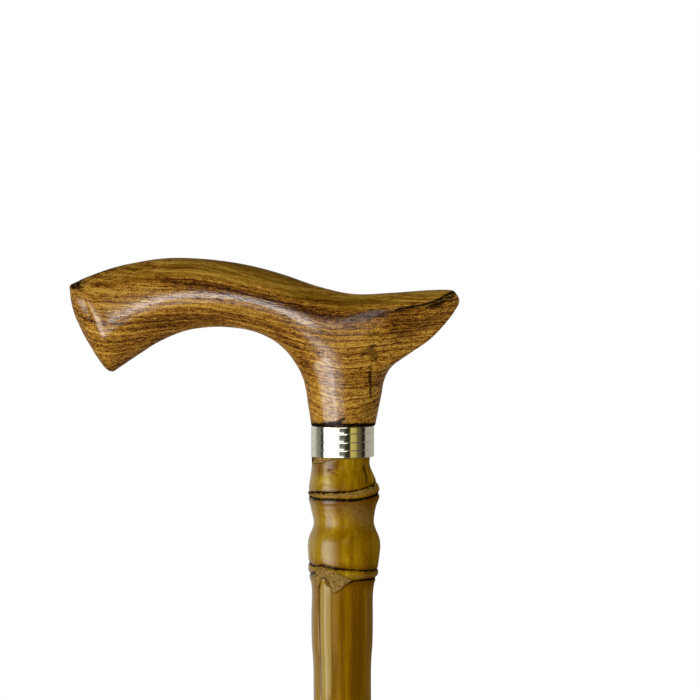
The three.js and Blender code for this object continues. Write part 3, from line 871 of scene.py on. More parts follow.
@dataclass(frozen=True)
class Handle:
    """The derby handle, lofted over rungs that cross its side view from keel to crown.

    The rungs run from the nose over the grip, round the tail and down the neck. A rung's x
    is a share of the nose's reach where it is negative and of the tail's reach elsewhere,
    its z a share of the handle's rise, and its width a share of the grip's half width.
    """

    stick: Stick
    view: CloseUp
    nose_reach: float = 97 * MM
    tail_reach: float = 42 * MM
    half_width: float = 13.2 * MM
    lip: float = 0.7 * MM
    overhang: float = 0.5 * MM  # of the neck's foot past the collar, under the tail
    hole_radius: float = 4.3 * MM
    hole_depth: float = 32 * MM
    far_edge: float = 1 * MM  # each way of the middle, where the far side's marks begin
    rows_per_rung: int = 10
    side_steps: int = 22
    lip_steps: int = 4

    # The keel's x and z, the crown's x and z, the width, where it is widest, and how sharp
    # the shoulder is there.
    RUNG_SHARES = (
        (-0.97, 0.607, -0.97, 0.607, 0, 0.5, 0),
        (-0.953, 0.542, -0.988, 0.673, 0.17, 0.5, 0),
        (-0.929, 0.476, -0.999, 0.74, 0.33, 0.48, 0.1),
        (-0.9, 0.399, -1.003, 0.8, 0.52, 0.46, 0.3),
        (-0.87, 0.338, -1.002, 0.836, 0.67, 0.45, 0.6),
        (-0.846, 0.322, -0.973, 0.861, 0.845, 0.44, 0.9),
        (-0.825, 0.342, -0.947, 0.881, 0.988, 0.44, 1),
        (-0.743, 0.431, -0.858, 0.934, 1, 0.43, 1),
        (-0.67, 0.504, -0.773, 0.968, 0.995, 0.43, 1),
        (-0.574, 0.566, -0.648, 0.998, 0.99, 0.43, 1),
        (-0.471, 0.588, -0.508, 0.993, 0.985, 0.43, 1),
        (-0.375, 0.578, -0.361, 0.961, 0.98, 0.43, 1),
        (-0.309, 0.551, -0.228, 0.906, 0.975, 0.42, 1),
        (-0.254, 0.507, -0.096, 0.833, 0.965, 0.385, 0.95),
        (-0.217, 0.459, 0.085, 0.785, 0.955, 0.335, 0.85),
        (-0.191, 0.412, 0.408, 0.791, 0.945, 0.28, 0.7),
        (-0.173, 0.369, 0.706, 0.806, 0.935, 0.25, 0.55),
        (-0.16, 0.334, 0.914, 0.808, 0.925, 0.235, 0.4),
        (-0.153, 0.31, 0.97, 0.783, 0.92, 0.23, 0.3),
        (-0.147, 0.287, 0.993, 0.741, 0.915, 0.23, 0.2),
        (-0.142, 0.265, 0.966, 0.697, 0.91, 0.235, 0.1),
        (-0.138, 0.234, 0.89, 0.622, 0.905, 0.25, 0.05),
        (-0.134, 0.204, 0.746, 0.515, 0.9, 0.285, 0),
        (-0.131, 0.173, 0.563, 0.426, 0.895, 0.34, 0),
        (-0.129, 0.143, 0.418, 0.351, 0.89, 0.41, 0),
        (-0.126, 0.113, 0.355, 0.271, 0.885, 0.445, 0),
        (-0.123, 0.084, 0.331, 0.185, 0.875, 0.465, 0),
    )

    FOOT_RIDGE_SHARE = 0.5  # the neck's foot is widest halfway

    # Where the tail's domed top meets its sides: rung, place along it, width, crispness.
    RIM_SHARES = (
        (13, 0.81, 0.75, 0.2), (14, 0.78, 0.82, 0.5), (15, 0.75, 0.82, 0.8), (16, 0.78, 0.74, 0.95),
        (17, 0.85, 0.61, 1), (18, 0.945, 0.42, 1), (19, 0.935, 0.34, 1), (20, 0.9, 0.28, 1),
        (21, 0.86, 0.24, 0.95), (22, 0.82, 0.35, 0.75), (23, 0.8, 0.5, 0.35), (24, 0.8, 0.6, 0),
    )

    # A cubic curve stands for a quarter of an ellipse with the first pull, for an eighth
    # of one with the second and for a straight line with the third.
    QUARTER_PULL = 0.5523
    EIGHTH_PULL = 0.2652
    STRAIGHT_PULL = 1 / 3
    DOME_PULL_SHARES = (0.36, 0.45)
    DOME_SWELL_SHARE = 0.8
    SHOULDER_PULL_SHARES = (0.58, 0.4, 0.75)  # under the keel, up to the shoulder, above it

    # Marks of the close view.
    # Charred wood, burns and cracks, with painted shade in the gap between the handle's foot and the collar.
    SCORCH_AND_GAP_SHADE = patches(
        (8.5, 1, (62, 285), (74, 280), (83, 279), (83, 289), (76, 291), (66, 288)),
        (3.5, 0.9, (424, 306), (440, 300), (456, 292), (452, 299), (438, 308), (426, 309)),
    ) + strokes(
        (6, 0.5, (66, 286), (92, 274), (124, 263)),
        (3, 0.3, (70, 290), (84, 330), (104, 366)),
        (6, 0.5, (103, 370), (112, 369)),
        (3, 1, (398, 309), (425, 304.5), (440, 299), (457, 290)),
        # Painted shade in the gap between the handle's foot and the collar.
        (4, 1, (310, 424.8), (330, 425), (340, 425), (377, 425)),
        (4.5, 0.9, (322, 425), (338, 422.5), (344, 419)),
        (6, 0.65, (371, 334), (375, 342), (373, 352)),
        (6, 0.4, (378, 333), (386, 346)),
        (6, 0.6, (361, 355), (369, 350), (376, 356)),
        (2, 0.8, (373, 353), (371.4, 362), (370, 371)),
        (2.6, 1, (370, 371), (369.4, 378), (370.6, 384)),
        (2.4, 1, (370, 388), (371, 397)),
        (2, 0.8, (401.5, 329), (403.6, 334), (403.4, 341)),
        (1.6, 0.5, (364, 400), (367, 408), (368, 415)),
    )
    # Dark streaks in the wood, with painted shade on the grip's downward face and under the tail's rim.
    STREAK_AND_SHADE = patches(
        # Painted shade on the grip's downward face, under its shoulder.
        (5, 0.3, (122, 330), (160, 316), (195, 311), (228, 312), (262, 320), (290, 334), (308, 356),
         (316, 384), (310, 384), (296, 350), (270, 330), (232, 322), (190, 324), (150, 336), (120, 358)),
        # Painted shade under the tail's rim.
        (7, 0.4, (388, 312), (425, 309), (452, 300), (440, 320), (420, 332), (396, 345), (385, 330)),
    ) + strokes(
        (8, 1, (158, 279), (205, 285), (250, 294), (290, 305), (320, 316), (345, 321), (375, 315)),
        (7, 0.5, (372, 316), (398, 310), (420, 307)),
        (4, 0.3, (300, 298), (345, 305), (380, 301)),
        (4, 0.5, (96, 284), (130, 282), (160, 279)),
        (4, 0.3, (90, 274), (130, 269), (190, 267)),
        (5, 0.5, (180, 318), (232, 316), (268, 325), (290, 343)),
        (7, 0.45, (112, 374), (128, 360), (165, 338)),
        (4, 0.5, (388, 343), (410, 342), (428, 338)),
        (4, 0.4, (383, 352), (402, 350)),
    )
    # Pale wood and pale grain lines, with painted highlights along the nose's edge, down the neck's left side
    # and on the flank by the nose.
    PALE_WOOD_AND_HIGHLIGHTS = patches(
        # Paler wood, partly a painted highlight, on the flank above the nose's shoulder.
        (7, 0.15, (92, 290), (150, 286), (175, 292), (150, 300), (125, 310), (108, 325), (98, 318)),
        (10, 0.45, (322, 318), (380, 322), (392, 332), (362, 350), (340, 352)),
    ) + strokes(
        # Painted highlight down the neck's left side.
        (12, 0.7, (318, 366), (319, 390), (320, 418)),
        (5, 0.6, (124, 322), (155, 310), (190, 305), (230, 306), (262, 314)),
        (7, 0.3, (370, 322), (392, 322)),
        # Painted highlight along the nose's end edge.
        (3.5, 1, (83, 297), (91, 307), (99, 322)),
        (14, 0.15, (345, 366), (348, 418)),
        (1.3, 0.8, (132, 267), (177, 272), (227, 275), (270, 283), (310, 296)),
        (1.2, 0.7, (167, 263), (210, 266.5), (252, 272.5), (290, 283)),
        (1.3, 0.7, (330, 300), (380, 296), (440, 288)),
    )
    OLIVE = patches(
        (7, 1, (155, 276), (160, 266), (185, 254), (260, 257), (330, 291), (380, 288), (462, 280),
         (441, 298), (400, 306), (345, 311), (300, 302), (268, 289), (210, 280)),
        (6, 0.6, (94, 272), (150, 260), (158, 282), (104, 287)),
    ) + strokes(
        (14, 1, (160, 248), (210, 244), (260, 250), (330, 286), (400, 286), (462, 282)),
        (12, 0.7, (95, 266), (160, 250)),
    )
    GLOSS = patches(
        (8, 0.7, (92, 290), (150, 284), (200, 288), (200, 300), (150, 305), (108, 325)),
    ) + strokes(
        (9, 1, (79, 297), (85, 302), (92, 310.5), (98.5, 321.5), (103, 331)),
        (13, 1, (103, 331), (127, 313), (160, 300), (193, 295), (227, 295), (260, 301), (272, 304),
         (290, 311), (304, 322), (316, 337), (325, 353)),
        (24, 1, (322, 348), (330, 369), (333, 383), (334, 399), (336, 424)),
    )
    FAR_SHIFT = (11.0, -4.0)  # pixels by which the marks of the far side are moved

    def along(self, rung: np.ndarray) -> dict[str, np.ndarray]:
        """The loft's lines.

        Args:
            rung: Places along the rungs, counted from the nose.

        Returns:
            By name, the keel and the crown as points and each section's shares.
        """
        rows = np.array(self.RUNG_SHARES, float)
        reach = np.where(rows[:, (0, 2)] < 0, self.nose_reach, self.tail_reach)
        rows[:, (0, 2)] *= reach
        rise = self.stick.crown - self.stick.culm_top
        rows[:, (1, 3)] *= rise
        rows[:, 4] *= self.half_width
        radius = self.stick.collar_radius
        back = radius + self.overhang
        foot = np.array([-radius, self.lip, back, self.lip, radius, self.FOOT_RIDGE_SHARE, 0])
        rows = np.vstack([rows, (rows[-1] + foot) / 2, foot])
        rim = np.array(self.RIM_SHARES)
        read = [line_through(tuple(enumerate(column)), rung) for column in rows.T]
        rim_read = [line_through(rim[:, [0, column]], rung) for column in (1, 2, 3)]
        return {
            "keel": np.stack([read[0], read[1]], -1),
            "crown": np.stack([read[2], read[3]], -1),
            "width": read[4],
            "ridge": read[5],
            "shoulder": np.clip(read[6], 0, 1),
            "rim_at": rim_read[0],
            "rim_width": rim_read[1] * self.half_width,
            "crisp": rim_read[2],
        }

    def half_sections(self, lines: dict[str, np.ndarray]) -> np.ndarray:
        """Half of each section, from its keel to its crown.

        Args:
            lines: The loft's lines.

        Returns:
            Half width and place along the rung, by section and point.
        """
        width, ridge, crisp = lines["width"], lines["ridge"], lines["crisp"]

        def blend(soft: np.ndarray, sharp: np.ndarray) -> np.ndarray:
            """Between the soft section's value and the one with a crisp rim."""
            return soft + (sharp - soft) * crisp

        above = 1 - ridge
        eighth = math.sqrt(0.5)
        rim_x = blend(width * eighth, lines["rim_width"])
        rim_y = blend(ridge + above * eighth, lines["rim_at"])
        keel_pull, side_share, over_share = (
            soft + (sharp - soft) * lines["shoulder"]
            for soft, sharp in zip((self.QUARTER_PULL, self.QUARTER_PULL, 1.0), self.SHOULDER_PULL_SHARES)
        )
        side_pull = blend(self.EIGHTH_PULL * above, self.STRAIGHT_PULL * (lines["rim_at"] - ridge))
        side_pull = side_pull * over_share
        soft = self.EIGHTH_PULL * eighth
        start, end = self.DOME_PULL_SHARES
        zero, one = np.zeros_like(width), np.ones_like(width)
        under = (
            blend(rim_x + soft * width, rim_x + self.STRAIGHT_PULL * (width - rim_x)),
            blend(rim_y - soft * above, rim_y - self.STRAIGHT_PULL * (rim_y - ridge)),
        )
        over = (
            blend(rim_x - soft * width, rim_x * (1 - start)),
            blend(rim_y + soft * above, rim_y + self.DOME_SWELL_SHARE * (1 - rim_y)),
        )
        last = (blend(self.EIGHTH_PULL * width, rim_x * end), one)
        lower_side = (width, ridge * (1 - side_share))
        curves = (
            ((zero, zero), (keel_pull * width, zero), lower_side, (width, ridge)),
            ((width, ridge), (width, ridge + side_pull), under, (rim_x, rim_y)),
            ((rim_x, rim_y), over, last, (zero, one)),
        )
        t = np.linspace(0, 1, self.side_steps + 1)[:, None]
        weights = ((1 - t) ** 3, 3 * t * (1 - t) ** 2, 3 * t * t * (1 - t), t**3)
        pieces = []
        for number, curve in enumerate(curves):
            points = sum(weight[..., None] * np.stack(pull, -1) for weight, pull in zip(weights, curve))
            pieces.append(points if number == 0 else points[1:])
        return np.concatenate(pieces).transpose(1, 0, 2)

    def rings(self) -> np.ndarray:
        """The handle's rings, about its own axis.

        Returns:
            Points by ring and place, from the nose to the neck's foot.
        """
        count = (len(self.RUNG_SHARES) + 1) * self.rows_per_rung
        rung = np.arange(1, count + 1) / self.rows_per_rung
        lines = self.along(rung)
        half = self.half_sections(lines)
        spine = lines["keel"][:, None] + (lines["crown"] - lines["keel"])[:, None] * half[..., 1:]
        side = np.stack([spine[..., 0], half[..., 0], spine[..., 1]], -1)
        other = side[:, -2:0:-1] * np.array([1, -1, 1])
        return np.concatenate([side, other], axis=1)

    def foot_rings(self, foot: np.ndarray) -> np.ndarray:
        """The rounded lip under the neck, its flat and the screw's hole.

        Args:
            foot: The neck's last ring.

        Returns:
            The rings that follow it.
        """
        turns = np.linspace(0, math.pi / 2, self.lip_steps + 1)[1:]
        radius = self.stick.collar_radius
        outline = [(radius - self.lip * (1 - math.cos(t)), self.lip * (1 - math.sin(t))) for t in turns]
        outline += [(self.hole_radius, 0.0), (self.hole_radius, self.hole_depth)]
        made = []
        for size, height in outline:
            ring = foot * (size / radius)
            if size == self.hole_radius:
                ring = foot * (size / np.hypot(foot[:, :1], foot[:, 1:2]))
            ring[:, 2] = height
            made.append(ring)
        return np.array(made)

    def paint(self, places: np.ndarray) -> Paint:
        """The close view's marks on the wood, moved a little on the far side.

        Args:
            places: The rings' points in the frame.

        Returns:
            Named values by ring and place.
        """
        pixels = self.view.pixels_of(places)
        far = smooth(places[..., 1], -self.far_edge, self.far_edge)[..., None]
        pixels = pixels + far * np.array(self.FAR_SHIFT)
        marks = {
            "scorch_and_gap_shade": self.SCORCH_AND_GAP_SHADE,
            "streak_and_shade": self.STREAK_AND_SHADE,
            "pale": self.PALE_WOOD_AND_HIGHLIGHTS,
            "olive": self.OLIVE,
            "gloss": self.GLOSS,
        }
        return {name: strongest(drawn, pixels) for name, drawn in marks.items()}

    def build(self) -> bpy.types.Object:
        """Builds and dresses the handle.

        Returns:
            The handle.
        """
        body = self.rings()
        rings = np.concatenate([body, self.foot_rings(body[-1])])
        origin = np.array([self.stick.axis, 0, self.stick.culm_top])
        rings += origin
        tip = self.along(np.zeros(1))["keel"][0]
        nose = (tip[0] + origin[0], 0.0, tip[1] + origin[2])
        end = (origin[0], 0.0, origin[2] + self.hole_depth + self.hole_radius / 2)
        made = skin("beech_handle", rings, (nose, end), self.paint(rings))
        finish = ScorchedBeech().material((self.stick.axis, 0, self.stick.crown))
        return settle(made, finish, "handle", Body.STICK)


@dataclass(frozen=True)
class Collar:
    """The turned collar: slightly swelling bands between sharp grooves."""

    stick: Stick
    wall: float = 1.4 * MM
    groove_depth: float = 0.14 * MM
    groove_width: float = 0.24 * MM
    crown: float = 0.02 * MM
    groove_shares: tuple[float, ...] = (0.24, 0.5, 0.78)
    band_steps: int = 14
    segments: int = 192

    def outline(self) -> tuple[np.ndarray, np.ndarray]:
        """The collar's outline.

        Returns:
            Radius and height of each point, and how deep in a groove it lies.
        """
        height = self.stick.culm_top - self.stick.shoulder
        radius = self.stick.collar_radius
        inside = radius - self.wall
        edges = [share * height for share in (0, *self.groove_shares, 1)]
        half = self.groove_width / 2
        points, depth = [(inside, 0.0)], [0.0]
        for low, high in zip(edges[:-1], edges[1:]):
            points.append((radius - self.groove_depth, low))
            depth.append(0.0 if low == 0 else 1.0)
            for t in np.linspace(-1, 1, self.band_steps):
                middle, reach = (low + high) / 2, (high - low) / 2 - half
                points.append((radius - self.crown * t * t, middle + reach * t))
                depth.append(0.0)
        points.append((radius - self.groove_depth, height))
        points.append((inside, height))
        depth.extend([0.0, 0.0])
        return np.array(points), np.array(depth)

    def build(self) -> bpy.types.Object:
        """Builds and dresses the collar.

        Returns:
            The collar.
        """
        outline, depth = self.outline()
        axis = (self.stick.axis, 0, self.stick.shoulder)
        made = turned("turned_collar", outline, axis, self.segments, {"groove": depth})
        return settle(made, PolishedCollar().material(), "collar", Body.STICK)


@dataclass(frozen=True)
class NodeLine:
    """A dark line round a node, drawn through pixels of the close view.

    Its other sizes are real ones. Behind the culm it runs from one of its ends to the other.
    """

    pixels: Points
    thickness: float
    teeth: float  # how far down its torn edge reaches
    depth: float
    smoke: float = 0.3  # how dark the rind is beside it


@dataclass
class Rind:
    """The culm's rind while it is worked, as values by ring and place."""

    height: np.ndarray
    angle: np.ndarray
    turn: np.ndarray  # from the side that faces the camera, towards +X
    plain: np.ndarray  # the radius without relief
    pixels: np.ndarray
    front: np.ndarray  # 1 where the close view's marks show
    coarse: np.ndarray
    fine: np.ndarray
    teeth: np.ndarray
    relief: np.ndarray
    char: np.ndarray
    smoke: np.ndarray
    band: np.ndarray

    def seen(self, marks: Marks) -> np.ndarray:
        """How strongly marks of the close view show."""
        return strongest(marks, self.pixels) * self.front


@dataclass(frozen=True)
class Culm:
    """The bamboo culm, with its nodes, its furrows, a bud scar and torn skin."""

    stick: Stick
    view: CloseUp
    height: float = 920 * MM  # the whole stick's, which the path's shares follow
    lean: float = 6.5 * MM
    sway: float = 1.2 * MM
    root_radius: float = 10.3 * MM
    foot_radius: float = 10 * MM
    root_length: float = 90 * MM
    flare_length: float = 17 * MM
    flare_rise: float = 1.7 * MM
    band_height: float = 5 * MM
    band_rise: float = 2.1 * MM
    band_pallor: float = 0.75  # of the long-spaced nodes' bands, where the upper root band's is 1
    fall_length: float = 8 * MM
    fall_rise: float = 1.3 * MM
    furrow_depth: float = 0.5 * MM
    furrow_spread: float = 5.1 * MM
    furrow_angle: float = -2.2
    bore_radius: float = 4.5 * MM
    diaphragm: float = 3 * MM
    vent_radius: float = 1.6 * MM
    tenon_radius: float = 9.6 * MM
    plug_radius: float = 7.3 * MM
    plug_length: float = 70 * MM
    columns: int = 152
    knotty_reach: float = 9 * MM  # below the root end's lowest node
    knotty_step: float = 0.25 * MM
    node_step: float = 0.35 * MM
    plain_step: float = 4 * MM
    sightings: int = 4  # tries at where a sight line meets the culm
    bore_steps: int = 4

    # Relief: lines, bands, the scar, furrows and flutes. A line's groove and its smoke
    # spread past a share of its thickness by a blur.
    spot: float = 0.9 * MM  # the size of the coarse spots
    groove_share: float = 0.75
    groove_blur: float = 0.15 * MM
    smoke_share: float = 2.2
    smoke_blur: float = 0.3 * MM
    least_half: float = 0.5 * MM  # of the bands between the root end's lines
    band_swell: float = 0.3 * MM
    upper_line: float = 0.55 * MM
    lower_line: float = 0.7 * MM
    line_depth: float = 0.35 * MM
    pocket_depth: float = 0.3 * MM
    crack_depth: float = 0.15 * MM
    crease_width: float = 0.45 * MM
    crease_depth: float = 0.22 * MM
    flute_depth: float = 0.15 * MM
    flute_fade: float = 8 * MM
    pitting: float = 0.05 * MM

    # Over what height the rind's colour and gloss change, near the two ends of the root
    # internode, under the upper root node and farther down.
    root_edge: float = 4 * MM
    internode_edge: float = 30 * MM
    lower_edge: float = 40 * MM
    neck_top: float = 3 * MM
    neck_foot: tuple[float, float] = (8 * MM, 4 * MM)
    dull_reach: tuple[float, float] = (50 * MM, 110 * MM)
    gloss_edge: float = 8 * MM

    NODE_SHARES = (0.287, 0.544, 0.778)
    ROOT_NODE_SHARES = (0.937, 0.9705)

    # How far finer rings reach from a node, as shares of its band, fall and flare.
    FINE_SHARES = (1.1, 2.6, 1.7)
    COARSER = 4  # the steps of the fall and the flare, in steps of the band

    COARSE_SEED, FINE_SEED, TEETH_SEED = 3, 4, 5
    FINER = 3  # the fine spots, in a coarse one
    FRONT_TURNS = (1.6, 1.35)  # where the close view's marks end, and where they are whole

    # A dark line's thinnest share, what the spots add to it, and how soft its edges are.
    ROOT_WAVER = (0.4, 1.1)
    BAND_WAVER = (0.7, 0.6)
    UPPER_SOFT, LOWER_SOFT = 0.35, 0.3
    # From where and to where the spots count as torn teeth, splinters and specks.
    TEETH_STEP, SPLINTER_STEP, SPECK_STEP = (0.35, 0.8), (0.5, 0.9), (0.58, 0.82)
    SPLINTERS = 0.6  # their length, as a share of the teeth's
    SPECK_CHAR = 0.75
    SPECK_SHARES = (-0.2, 0.4)  # specks start below a band's middle and are whole above it
    ROOT_BAND_LIGHT = (1.0, 0.35)  # of the upper and the lower root node
    ROOT_BAND_EDGE, ROOT_SPECK_EDGE, BAND_EDGE = 0.5, 0.3, 0.6
    SCAR_COVER = 0.92  # how much of the lines' char the scar takes away
    POCKET_CHAR = 0.9
    WOBBLES = ((0.35 * MM, 2, 2.1), (0.25 * MM, 5, 1))  # size, waves round, shift by node
    SCAR_SWELL = (0.25 * MM, 0.35 * MM, 0.25 * MM)  # evenly, by coarse and by fine spots
    FLAP_SWELL = (0.1 * MM, 0.15 * MM)  # evenly and by fine spots
    FLUTES = ((3, 0.4), (7, 1.9), (11, 4.2), (17, 2.6), (23, 5.1))  # waves round, and shift

    # How much darker each part of the rind is, or lighter where it is below 0.
    PLAIN_TONE = 0.5
    ROOT_TONE, INTERNODE_TONE, LOWER_TONE, BAND_TONE, NECK_TONE = -0.1, 0.12, 0.03, -0.42, 0.25
    # Painted shade: the rind is darker towards +X, away from the key lamp, and lighter at its two edges.
    SIDE_SHADE = (0.07, 0.04)  # once and twice round
    DULLNESS = 0.6  # of the blush that lies on all the lower internodes
    # Turns between which the shine grows, and how much of it the camera's side can lose.
    KNOTTY_SHINE, SMOOTH_SHINE = (-0.12, -0.48), (-0.42, -0.72)
    SHINE_LOSS = 0.95
    BARE_PAINT = {"tone": 0.2, "char": 0.0, "fibre": 1.0, "blush": 0.0, "rib_highlight": 0.0, "gloss": 0.0}

    # How far down from the collar, as a share of the root end's length, and the radius as
    # a share of the radius below it.
    ROOT_OUTLINE_SHARES = (
        (0, 1.01), (0.035, 1.01), (0.065, 1.075), (0.095, 1.15), (0.125, 1.21), (0.16, 1.24),
        (0.19, 1.16), (0.225, 1.09), (0.26, 1.045), (0.285, 1.09), (0.32, 1.215), (0.35, 1.26),
        (0.385, 1.245), (0.43, 1.205), (0.475, 1.175), (0.51, 1.09), (0.555, 1.06), (0.65, 1.07),
        (0.745, 1.055), (0.83, 1.005), (1, 1),
    )

    # Height as a share of the stick's, forward of the lean and sideways of the sway.
    PATH_SHARES = (
        (0.03, 0, 0), (0.065, 0, 0), (0.277, 0.09, 0.6), (0.352, 0.29, 0.4), (0.447, 0.58, -0.3),
        (0.51, 0.78, -0.8), (0.604, 0.66, -0.3), (0.688, 0.89, 0.6), (0.73, 1.03, 0.9), (0.858, 0.98, 0.3),
        (0.872, 1.01, 0.2), (0.885, 1.08, 0.1), (0.896, 1.08, 0), (0.902, 1.04, 0), (0.909, 1.08, 0),
        (0.915, 1, 0), (0.919, 0.91, 0), (0.922, 0.9, 0), (0.94, 0.9, 0),
    )

    # The four dark lines of the root end's two nodes, from the top down.
    # The thick lower line of each node also paints the shade in the groove under its sheath scar's ledge.
    ROOT_LINES = (
        NodeLine(
            (
                (308.3, 491.6), (318, 491.9), (335, 492), (350, 491.4), (360, 489.6),
                (366.9, 487.3), (373.8, 484.4), (375.5, 481.5),
            ),
            0.34 * MM, 0.8 * MM, 0.3 * MM,
        ),
        NodeLine(
            (
                (307.2, 495.9), (315.2, 498.8), (323.8, 499.9), (338.2, 500.1), (355.4, 500.3),
                (369.8, 497.6), (378.4, 493.1),
            ),
            0.85 * MM, 0.12 * MM, 0.5 * MM, 0.7,
        ),
        NodeLine(
            (
                (309.2, 562), (311.2, 564.3), (315.2, 566), (322.1, 565), (327.9, 566.9), (333.6, 567.9),
                (343.9, 569.2), (355.4, 570), (366.9, 570.7), (377.2, 569.4),
            ),
            0.38 * MM, 0.7 * MM, 0.35 * MM,
        ),
        NodeLine(
            (
                (310.1, 573.5), (313.5, 573.3), (317.5, 574), (330, 580), (349.7, 582.3), (355.4, 581),
                (364, 579.8), (372.6, 578.9), (377.2, 577.5),
            ),
            0.7 * MM, 0.12 * MM, 0.45 * MM, 0.6,
        ),
    )

    # Marks of the close view. The cracks also hold the furrows' dark lines and specks.
    SCAR = patches(
        (0.6, 1, (319.8, 566.6), (327.9, 568.3), (338.2, 573.5), (347.9, 578.1), (352, 580.9),
         (348.5, 582.6), (343.9, 584.9), (342.2, 588.4), (335.3, 592.4), (333, 593), (330.1, 586.7),
         (329, 582.1), (325.6, 578.6), (323.3, 577.5), (321, 579.2), (319.2, 584.4), (318.1, 587.2),
         (316.4, 583.8), (314.6, 577.5), (314.1, 574.6), (319.2, 569.4)),
    )
    FLAP = patches(
        (0.7, 1, (311, 453), (312.4, 463.4), (317.5, 462.9), (323.8, 462.1), (328.5, 460.4), (333.6, 459.0),
         (338.2, 457.4), (344, 457.6), (348.5, 458.2), (350, 455), (330, 452)),
    )
    POCKET = strokes(
        (2.2, 0.8, (324.6, 579), (326, 583), (326.6, 586)),
    )
    SCAR_SHADOW = strokes(
        (1.3, 0.7, (318, 588), (316, 583.6), (314.2, 577), (313.9, 574.2)),
        (1.4, 0.6, (352.5, 581.6), (346, 585.4), (342.8, 589), (336, 593.2), (332.4, 594), (329.6, 586.9)),
        (1.0, 0.5, (319.5, 566.3), (328.5, 567.4), (340, 573.2)),
        (1.0, 0.7, (310.1, 573.5), (313.5, 573.2), (317.5, 569.4), (319.2, 567.1)),
        (1.3, 0.9, (319, 587), (320.5, 580), (323, 577), (326, 577.5), (328.5, 581), (329.5, 587)),
        (1.3, 0.7, (311, 464), (317.5, 463.6), (324, 462.8), (333.6, 459.6), (338.2, 458.2), (349, 459)),
        (1.2, 0.8, (311.5, 455), (313, 459), (312.4, 463)),
    )
    CRACKS = strokes(
        (1.7, 0.85, (363.6, 466), (364.9, 471.8), (366.3, 475.3), (366.6, 482.1)),
        (1.8, 0.6, (369.2, 465), (369.2, 471.8)),
        (2.0, 0.9, (328.4, 469.0), (328.6, 469.5)),
        (1.9, 0.8, (333.4, 472.8), (333.8, 473.2)),
        (1.8, 0.7, (336.8, 474.5), (337.2, 474.9)),
        (1.5, 0.4, (318.4, 588), (318.8, 640), (319.6, 700)),
        (1.4, 0.35, (330.8, 592), (331.1, 640), (331.6, 700)),
        (1.0, 0.35, (326.4, 584), (326.5, 606), (326.8, 640)),
        (6, 0.26, (318, 655), (322, 658), (329, 654)),
        (0.9, 0.9, (312.8, 461.5), (315.2, 457)),
        (0.8, 0.7, (316.8, 461.8), (318.6, 458.4)),
    )
    TAN = patches(
        (6, 0.35, (338, 506), (352, 503), (372, 508), (375, 530), (362, 526), (350, 520)),
    ) + strokes(
        (4, 0.75, (309, 494.5), (335, 495.5), (352, 494.8), (364, 492), (376, 487)),
        (3, 0.4, (349, 576), (362, 577), (376, 574)),
    )
    BLUSH = patches(
        (1.0, 0.75, (311, 588), (317.6, 588), (318.6, 700), (312, 700)),
        (1.4, 0.55, (332.2, 594), (336.6, 594), (336.8, 640), (335.5, 665), (332.8, 665)),
        (2.5, 0.6, (367, 590), (374, 590), (373, 700), (366, 700)),
    ) + strokes(
        (4, 0.2, (314, 464), (326, 464), (340, 460)),
        (12, 0.25, (338, 512), (350, 516)),
        (11, 0.4, (358, 512), (370, 520)),
        (6, 0.4, (320, 650), (328, 660)),
    )
    # Painted highlights: the pale rib between the furrows, a streak on the neck and the lit left edge.
    RIB_HIGHLIGHT = patches(
        (0.9, 0.85, (319.8, 590), (323, 584), (327, 584), (330.6, 592), (331, 700), (320.6, 700),
         (319.4, 640)),
    ) + strokes(
        (6, 0.35, (325, 468), (326, 486)),
        (9, 0.45, (312, 545), (312, 505)),
        (8, 0.5, (312, 488), (313, 470)),
    )
    DARKER = patches(
        (4, 0.55, (311, 464), (341, 460), (337, 469), (326, 474), (311, 475)),
        (8, 0.18, (314, 534), (366, 530), (368, 556), (312, 560)),
        (3, 0.12, (332, 590), (346, 590), (346, 700), (332, 700)),
        (3.5, 0.16, (348, 588), (361, 588), (361, 700), (347, 700)),
    ) + strokes(
        (9, 0.22, (310, 560), (340, 566), (374, 568)),
        (6, 0.15, (312, 486), (340, 488), (366, 482)),
        (12, 0.2, (355, 510), (372, 516), (376, 530)),
        (14, 0.15, (360, 556), (375, 560)),
        (1.6, 0.7, (318.6, 588), (318.9, 640), (319.6, 700)),
        (1.8, 0.75, (330.6, 592), (330.9, 640), (331.4, 700)),
        (0.9, 0.5, (326.2, 584), (326.4, 606), (326.8, 640)),
        (4, 0.5, (318, 655), (321, 658), (329, 654)),
        (1.6, 0.4, (354.5, 616), (357, 619.5), (355.5, 623)),
        (1.3, 0.4, (351, 557), (353, 561)),
        (1.2, 0.3, (348, 548), (348.6, 554)),
        (1.4, 0.35, (362, 552), (368, 556), (364, 562)),
    )
    # Lighter marks: painted highlights on the rib and in a streak on the neck, and paler strips near the two
    # edges.
    LIGHTER_AND_HIGHLIGHTS = patches(
        (0.8, 0.3, (322, 580), (324.6, 577), (327, 582), (330, 592), (330.4, 700), (320.2, 700),
         (319.6, 590)),
    ) + strokes(
        (7, 0.2, (325, 470), (326, 486)),
        (5, 0.16, (366, 592), (367, 700)),
        (6, 0.18, (369, 468), (371, 486)),
        (6, 0.18, (374, 535), (375, 560)),
        (6, 0.1, (312, 560), (312, 510)),
    )

    def path(self, height: np.ndarray) -> tuple[np.ndarray, np.ndarray]:
        """Where the culm's middle runs.

        Args:
            height: Heights above the ground.

        Returns:
            How far forward and sideways the middle lies at each height.
        """
        rows = np.array(self.PATH_SHARES) * (self.height, self.lean, self.sway)
        return line_through(rows[:, [0, 1]], height), line_through(rows[:, [0, 2]], height)

    def around(self, height: np.ndarray, angle: np.ndarray, radius: np.ndarray) -> np.ndarray:
        """Places at a radius round the culm's middle, with x, y and z in the last axis."""
        forward, side = self.path(height)
        return np.stack([forward + radius * np.cos(angle), side + radius * np.sin(angle), height], -1)

